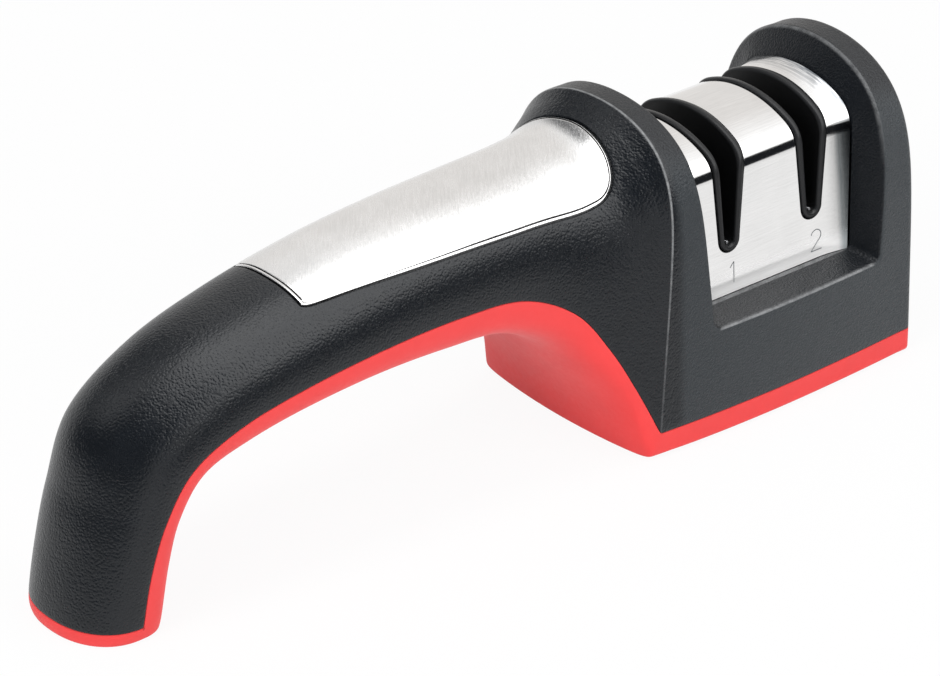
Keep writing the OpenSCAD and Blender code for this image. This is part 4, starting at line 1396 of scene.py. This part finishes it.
def finish_brushed(name, colour, turn, rough, depth, streak, width, shaded_rear=False):
    """Brushed steel: long thin scratches in one direction, softened patches and a fine tone.
    A shaded rear end has streaks of painted shade across the scratches, where the sheet curls
    out, and a dulled foot."""
    m = Finish(name, metallic=1.0)
    lines = m.noise(streak, 3, 0.65, m.turned(
        scale=(1, streak / width, streak / width), turn=turn))
    hair = m.noise(streak * 0.35, 2, 0.5, m.turned(
        scale=(1, 90, 90), turn=turn, shift=(0.02, 0.01, 0)))
    cloud = m.noise(0.009, 3)
    blend = m.sum("ADD", m.product(lines, 0.6), m.product(cloud, 0.4))
    tone = m.colour(m.fit(blend, 0.35, 0.65), tinted(colour, 0.92), tinted(colour, 1.06))
    if shaded_rear:
        # Painted shade of the curled rear end, in streaks: paler grey on the side, darker on
        # the arch, darkest in the last strip.
        x, z = m.axis(0), m.axis(2)
        start, end = REAR_SHADE_X
        streaks = m.noise(0.010, 3, 0.7, m.turned(scale=(22, 1, 1)))
        beside = m.fit(z, *REAR_SHADE_SIDE_Z)
        tone = m.mix(m.product(m.fit(x, start, end, smooth=True), beside,
                               m.fit(streaks, 0.3, 0.6, 0.7, 1.0)), tone, REAR_SHADE_SIDE)
        tone = m.mix(m.product(m.fit(x, end - 0.0012, end + 0.003), m.fit(z, *REAR_SHADE_ARCH_Z),
                               m.fit(streaks, 0.35, 0.55)), tone, REAR_SHADE_ARCH)
        m.colour(m.product(m.fit(x, end, end + 0.0026), beside), tone, REAR_SHADE_LAST)
        m.feed("Metallic", m.fit(z, *DULL_FOOT_Z, 0.15, 1.0, smooth=True))
    m.feed("Roughness", m.sum("ADD", m.fit(lines, 0.3, 0.7, rough, rough * 1.5),
                              m.fit(cloud, 0.35, 0.7, 0, 0.02)))
    below = m.bump(lines, depth, 0.5)
    m.bump(hair, depth * 0.6, 0.35, below)
    return m.material


def finish_insert(name, colour, rough):
    """Semi-gloss black plastic of the slot insert with a very fine spark-eroded surface."""
    m = Finish(name, Specular_IOR_Level=0.32)
    m.colour(m.noise(0.002, 3), tinted(colour, 0.85), tinted(colour, 1.15))
    m.uneven(0.0006, 2, rough, rough + 0.08)
    m.bump(m.cells(0.00035), 0.000004, 0.3)
    return m.material


def finish_groove_shade(colour):
    """Near-black painted shade for the groove of the inlay and the cut edges of the slots:
    dull, with uneven tone.
    """
    m = Finish("painted_shade_edge", metallic=0.4, Specular_IOR_Level=0.2)
    m.colour(m.noise(0.0012, 2), tinted(colour, 0.6), tinted(colour, 1.6))
    m.uneven(0.0008, 2, 0.5, 0.65)
    m.bump(m.noise(0.0003, 2), 0.00001, 0.4)
    return m.material


def finish_turned(name, colour, axis, rough=0.25):
    """Turned steel: fine rings round its own length, with uneven polish."""
    m = Finish(name, metallic=1.0)
    scale = [1 / 40.0] * 3
    scale[axis] = 1.0
    rings = m.noise(0.0002, 2, 0.6, m.turned(scale=tuple(scale)))
    m.colour(rings, tinted(colour, 0.8), tinted(colour, 1.05))
    m.uneven(0.0015, 3, rough, rough + 0.15)
    m.bump(rings, 0.00001, 0.5)
    return m.material


def finish_grit(name, colour, size, rough):
    """Bonded abrasive: grains of the given size in slightly different tones, rough and dull."""
    m = Finish(name, Specular_IOR_Level=0.4)
    grains = m.cells(size, feature="F1")
    m.colour(m.fit(m.sum("ADD", grains, m.noise(size * 3, 3)), 0.5, 1.3),
             tinted(colour, 0.7), tinted(colour, 1.35))
    m.uneven(size * 2, 2, rough, rough + 0.15)
    m.bump(grains, size * 0.25, 0.8)
    return m.material


def finish_plastic(name, colour, rough, grain):
    """Plain moulded plastic with a fine grain, or rubber where it is rougher."""
    m = Finish(name, Specular_IOR_Level=0.4)
    m.colour(m.noise(0.003, 3), tinted(colour, 0.85), tinted(colour, 1.15))
    m.uneven(grain * 2, 2, rough, rough + 0.12)
    m.bump(m.cells(grain), grain * 0.08, 0.5)
    return m.material


def finish_print(colour):
    """Etched grey of the digits, slightly uneven."""
    m = Finish("digit_grey", metallic=0.3)
    m.colour(m.noise(0.0006, 2), tinted(colour, 0.8), tinted(colour, 1.2))
    m.uneven(0.0004, 2, 0.45, 0.6)
    m.bump(m.noise(0.0001, 2), 0.000005, 0.4)
    return m.material


PIN_STEEL = (0.62, 0.63, 0.65)
SCREW_STEEL = (0.58, 0.59, 0.61)
DIAMOND_GREY = (0.05, 0.052, 0.06)
CERAMIC_CREAM = (0.55, 0.53, 0.48)
SPACER_GREY = (0.06, 0.062, 0.066)
RUBBER = (0.018, 0.018, 0.02)
GROOVE_SHADE = (0.01, 0.0105, 0.0115)
DIGIT_GREY = (0.2, 0.21, 0.22)
# What makes the finish of each material slot of the solids that are kept as they are.
CAD_FINISHES = {
    # The channels, the insert's block and every kept solid of this material take the insert's
    # colour at 0.3: painted shade.
    "black_insert": lambda s: finish_insert("insert_channel_shade", tinted(s.insert, 0.3), 0.4),
    "pin_steel": lambda s: finish_turned("pin_steel", PIN_STEEL, 1),
    "coarse_grit": lambda s: finish_grit("coarse_grit", DIAMOND_GREY, 0.0003, 0.55),
    "fine_ceramic": lambda s: finish_grit("fine_ceramic", CERAMIC_CREAM, 0.00012, 0.4),
    "spacer_plastic": lambda s: finish_plastic("spacer_plastic", SPACER_GREY, 0.4, 0.0004),
    "screw_steel": lambda s: finish_turned("screw_steel", SCREW_STEEL, 2),
    "pad_rubber": lambda s: finish_plastic("pad_rubber", RUBBER, 0.7, 0.0006),
}


# ---- Studio ------------------------------------------------------------------------------

# Name, place, target, width, height and strength in watts of each light.
STUDIO_LIGHTS = [
    ("top_light", (0.03, 0.0, 1.0), (0.03, 0.0, 0.0), 0.72, 0.26, 2.8),
    ("near_light", (0.35, -1.05, 0.45), (0.02, 0.0, 0.03), 0.9, 0.6, 7.5),
    ("left_light", (-1.0, -0.2, 0.5), (-0.04, 0.0, 0.04), 0.7, 0.6, 7.0),
]
CAMERA_PLACE = (-0.56085, -0.67175, 0.50844)
CAMERA_TURN = (61.21910616, 0, -40.00533173)
CAMERA_LENS = 191.489
# The floor's half width in metres, its lines each way, and how far below the object it lies.
FLOOR_HALF = 4
FLOOR_LINES = 33
FLOOR_DROP = 0.0001
WHITE = (1, 1, 1, 1)


def build_floor(colour):
    """Studio floor as a wide flat grid under the object; white to the camera away from the
    object's shadow."""
    side = np.linspace(-FLOOR_HALF, FLOOR_HALF, FLOOR_LINES)
    x, y = np.meshgrid(side, side, indexing="ij")
    sheet = Patches()
    sheet.add(np.stack([x, y, np.full_like(x, -FLOOR_DROP)], -1))
    mesh = bpy.data.meshes.new("studio_floor")
    mesh.from_pydata(sheet.points[0].tolist(), [], sheet.faces[0].tolist())
    floor = bpy.data.objects.new("studio_floor", mesh)
    bpy.context.scene.collection.objects.link(floor)
    m = Finish("studio_floor", Specular_IOR_Level=0.1)
    m.colour(m.noise(0.3, 2), tinted(colour, 0.985), tinted(colour, 1.0))
    m.uneven(0.1, 2, 0.75, 0.85)
    rays = m.node("ShaderNodeLightPath").outputs
    glow = m.node("ShaderNodeEmission", {0: WHITE, 1: 1.0})
    mix = m.node("ShaderNodeMixShader", {0: m.product(rays["Is Camera Ray"], 0.93),
                                         1: m.shader.outputs[0], 2: glow.outputs[0]})
    m.tree.links.new(mix.outputs[0], m.output.inputs[0])
    mesh.materials.append(m.material)
    floor.visible_glossy = False


def build_world():
    """White studio: plain white to the camera and, to gloss, a room of soft panels: a white
    table below, a dark gap over the table's near right edge, a bright panel above the gap, a
    bright ceiling, white walls at the right and the back, a soft spot at the left over the
    back, level panels on both sides of the object, and a dim near left side."""
    world = bpy.data.worlds.new("studio")
    bpy.context.scene.world = world
    world.use_nodes = True
    m = Nodes(world.node_tree)
    way = m.node("ShaderNodeTexCoord").outputs["Generated"]

    def towards(x, y, z):
        """How far the direction goes along x, y, z."""
        return m.node("ShaderNodeVectorMath", {0: way, 1: (x, y, z)},
                      operation="DOT_PRODUCT").outputs["Value"]

    def fit(value, low, high):
        """Soft edge of a panel."""
        return m.fit(value, low, high, smooth=True)

    def panel(factor, colour):
        """Hangs a panel in the room, over the ones before it."""
        nonlocal room
        room = m.mix(factor, room, colour + (1,))

    room = (0.04, 0.043, 0.048, 1)
    up, right, near = towards(0, 0, 1), towards(1, 0, 0), towards(0, -1, 0)
    near_right = m.product(fit(right, -0.05, 0.2), fit(near, 0.2, 0.45))
    aside = m.sum("ABSOLUTE", towards(0.88, 0.47, 0))
    across = m.sum("ABSOLUTE", near)
    panel(fit(towards(-0.36, 0.58, 0.73), 0.94, 0.99), (1.2, 1.2, 1.2))
    panel(m.product(fit(towards(0.55, 0, 1), 0.41, 0.45), fit(right, 0.08, 0.34)),
          (1.15, 1.15, 1.15))
    panel(fit(towards(0.9, 0.45, 0), 0.5, 0.75), (0.84, 0.82, 0.80))
    panel(m.product(fit(across, 0.86, 0.93), fit(up, 0.4, 0.3), fit(up, -0.3, -0.15)),
          (0.8, 0.8, 0.8))
    panel(m.product(fit(aside, 0.45, 0.28), fit(towards(0.47, -0.88, 0), 0.05, 0.2),
                    fit(up, 0.2, 0.34)), (2.9, 2.9, 2.9))
    panel(m.product(fit(up, 0.88, 0.95), fit(right, -0.35, -0.1)), (3.2, 3.2, 3.2))
    panel(m.product(m.sum("SUBTRACT", 1, near_right), fit(up, -0.07, -0.2)),
          (0.95, 0.95, 0.95))
    panel(m.product(near_right, fit(up, 0.16, 0.13), fit(up, -0.3, -0.27)),
          (0.012, 0.013, 0.015))
    panel(fit(up, -0.26, -0.29), (0.97, 0.97, 0.97))

    def light(colour, strength=1.0):
        """Even light of one colour."""
        return m.node("ShaderNodeBackground", {0: colour, 1: strength}).outputs[0]

    path = m.node("ShaderNodeLightPath").outputs
    gloss = m.node("ShaderNodeMixShader", {
        0: path["Is Glossy Ray"], 1: light((0.80, 0.80, 0.81, 1), 0.62), 2: light(room)})
    seen = m.sum("MAXIMUM", path["Is Camera Ray"], path["Is Transmission Ray"])
    whole = m.node("ShaderNodeMixShader", {0: seen, 1: gloss.outputs[0], 2: light(WHITE)})
    output = m.node("ShaderNodeOutputWorld")
    m.tree.links.new(whole.outputs[0], output.inputs[0])


def build_lights():
    """Soft area lights, each aimed at its target and unseen in gloss."""
    for name, place, target, width, height, strength in STUDIO_LIGHTS:
        lamp = bpy.data.lights.new(name, "AREA")
        lamp.shape = "RECTANGLE"
        lamp.size, lamp.size_y = width, height
        lamp.energy = strength
        obj = bpy.data.objects.new(name, lamp)
        bpy.context.scene.collection.objects.link(obj)
        obj.location = place
        obj.visible_glossy = False
        aim = Vector(target) - Vector(place)
        obj.rotation_euler = aim.to_track_quat("-Z", "Y").to_euler()


def build_camera():
    """Camera with a long lens, raised and off to the near left."""
    data = bpy.data.cameras.new("camera")
    data.lens = CAMERA_LENS
    data.sensor_width = 36
    data.clip_start = 0.05
    data.clip_end = 30
    camera = bpy.data.objects.new("camera", data)
    bpy.context.scene.collection.objects.link(camera)
    camera.location = CAMERA_PLACE
    camera.rotation_euler = [math.radians(angle) for angle in CAMERA_TURN]
    bpy.context.scene.camera = camera


# ---- Operators ---------------------------------------------------------------------------

def settle(obj, material, slot, *nodes):
    """Gives a finished piece its material and body, and hides the nodes that it stands for; the
    slot is not used.
    """
    obj.data.materials.append(material)
    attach(obj, BODY)
    if nodes:
        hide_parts(*nodes)


class SharpenerStage(bpy.types.Operator):
    """Makes the floor, the room, the lights and the camera"""
    bl_idname = "sharpener.stage"
    bl_label = "Studio"

    def execute(self, context):
        """Builds the stage."""
        build_camera()
        build_world()
        build_lights()
        build_floor(context.scene.sharpener_finishes.floor)
        context.scene.view_settings.view_transform = "Standard"
        return {"FINISHED"}


class SharpenerShells(bpy.types.Operator):
    """Makes the black housing and the red underside"""
    bl_idname = "sharpener.shells"
    bl_label = "Moulded shells"

    def execute(self, context):
        """Builds both shells."""
        scene = context.scene
        sizes, finishes = scene.sharpener_shells, scene.sharpener_finishes
        settle(build_housing(sizes, scene.sharpener_saddle),
               finish_black(finishes.black, sizes.grain), "black_shell", "housing")
        settle(build_underside(sizes),
               finish_red(finishes.red, sizes.grain), "red_shell", "underside")
        return {"FINISHED"}


class SharpenerSteel(bpy.types.Operator):
    """Makes the inlay of the handle and the saddle of the head"""
    bl_idname = "sharpener.steel"
    bl_label = "Steel sheets"

    def execute(self, context):
        """Builds the two steel sheets."""
        scene = context.scene
        steel = scene.sharpener_finishes.steel
        inlay = build_inlay(scene.sharpener_shells)
        aslant = finish_brushed(
            "steel_inlay", steel, (0, 0, -0.9), 0.19, 0.00003, 0.006, 0.00038)
        settle(inlay, aslant, "steel_sheet", "handle_plate")
        # Near-black painted shade for the inlay's groove and the saddle's edges round the
        # slots.
        groove = finish_groove_shade(GROOVE_SHADE)
        inlay.data.materials.append(groove)
        saddle = build_saddle(scene.sharpener_saddle, scene.sharpener_slots)
        straight = finish_brushed(
            "steel_saddle", steel, (0, 0, 0), 0.07, 0.0000025, 0.008, 0.00022,
            shaded_rear=True)
        settle(saddle, straight, "steel_sheet", "saddle_plate")
        saddle.data.materials.append(groove)
        return {"FINISHED"}


class SharpenerSlots(bpy.types.Operator):
    """Makes the black slot insert and the digits beside the slots"""
    bl_idname = "sharpener.slots"
    bl_label = "Slots and digits"

    def execute(self, context):
        """Builds the insert, its block and the digits."""
        scene = context.scene
        slots = scene.sharpener_slots
        insert = build_insert(scene.sharpener_saddle, slots)
        rim = finish_insert("black_insert", scene.sharpener_finishes.insert, 0.3)
        settle(insert, rim, "black_insert", "cassette")
        # The insert's colour darkened, painted shade for the channels and the block.
        channel_shade_finish = CAD_FINISHES["black_insert"](scene.sharpener_finishes)
        insert.data.materials.append(channel_shade_finish)
        insert.data.materials.append(finish_turned("pin_steel", PIN_STEEL, 1))
        settle(build_block(slots), channel_shade_finish, "black_insert")
        settle(build_digits(scene.sharpener_saddle, slots), finish_print(DIGIT_GREY),
               "steel_sheet")
        return {"FINISHED"}


class SharpenerWorks(bpy.types.Operator):
    """Gives the pins, wheels, spacers, screws, plate and pad their finishes"""
    bl_idname = "sharpener.works"
    bl_label = "Wheels and fastenings"

    def execute(self, context):
        """Puts a finish on every solid that is kept as it is."""
        made = {}
        for name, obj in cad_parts.items():
            for number, slot in enumerate(obj.material_slots):
                key = slot.material.name.split(".")[0] if slot.material else ""
                if name == "base_plate":
                    key = "red_shell"
                if key in CAD_FINISHES:
                    if key not in made:
                        made[key] = CAD_FINISHES[key](context.scene.sharpener_finishes)
                    slot.material = made[key]
                elif key in ("black_shell", "red_shell"):
                    slot.material = bpy.data.materials[key]
        return {"FINISHED"}


class SharpenerPanel(bpy.types.Panel):
    """Lists the steps that dress the sharpener"""
    bl_idname = "VIEW3D_PT_sharpener"
    bl_label = "Sharpener"
    bl_space_type = "VIEW_3D"
    bl_region_type = "UI"
    bl_category = "Sharpener"

    def draw(self, context):
        """Draws one button for each step."""
        for step in STEPS:
            self.layout.operator(step.bl_idname)


STEPS = (SharpenerStage, SharpenerShells, SharpenerSteel, SharpenerSlots, SharpenerWorks)
SETTINGS = (("sharpener_shells", ShellSizes), ("sharpener_saddle", SaddleSizes),
            ("sharpener_slots", SlotSizes), ("sharpener_finishes", Finishes))


def register():
    """Registers the settings, the steps and the panel."""
    for name, kind in SETTINGS:
        bpy.utils.register_class(kind)
        setattr(bpy.types.Scene, name, PointerProperty(type=kind))
    for kind in STEPS + (SharpenerPanel,):
        bpy.utils.register_class(kind)


def unregister():
    """Takes the panel, the steps and the settings away again."""
    for kind in (SharpenerPanel,) + STEPS[::-1]:
        bpy.utils.unregister_class(kind)
    for name, kind in SETTINGS[::-1]:
        delattr(bpy.types.Scene, name)
        bpy.utils.unregister_class(kind)


def main():
    """Runs every step."""
    register()
    for step in STEPS:
        group, name = step.bl_idname.split(".")
        getattr(getattr(bpy.ops, group), name)()


if __name__ == "__main__":
    main()
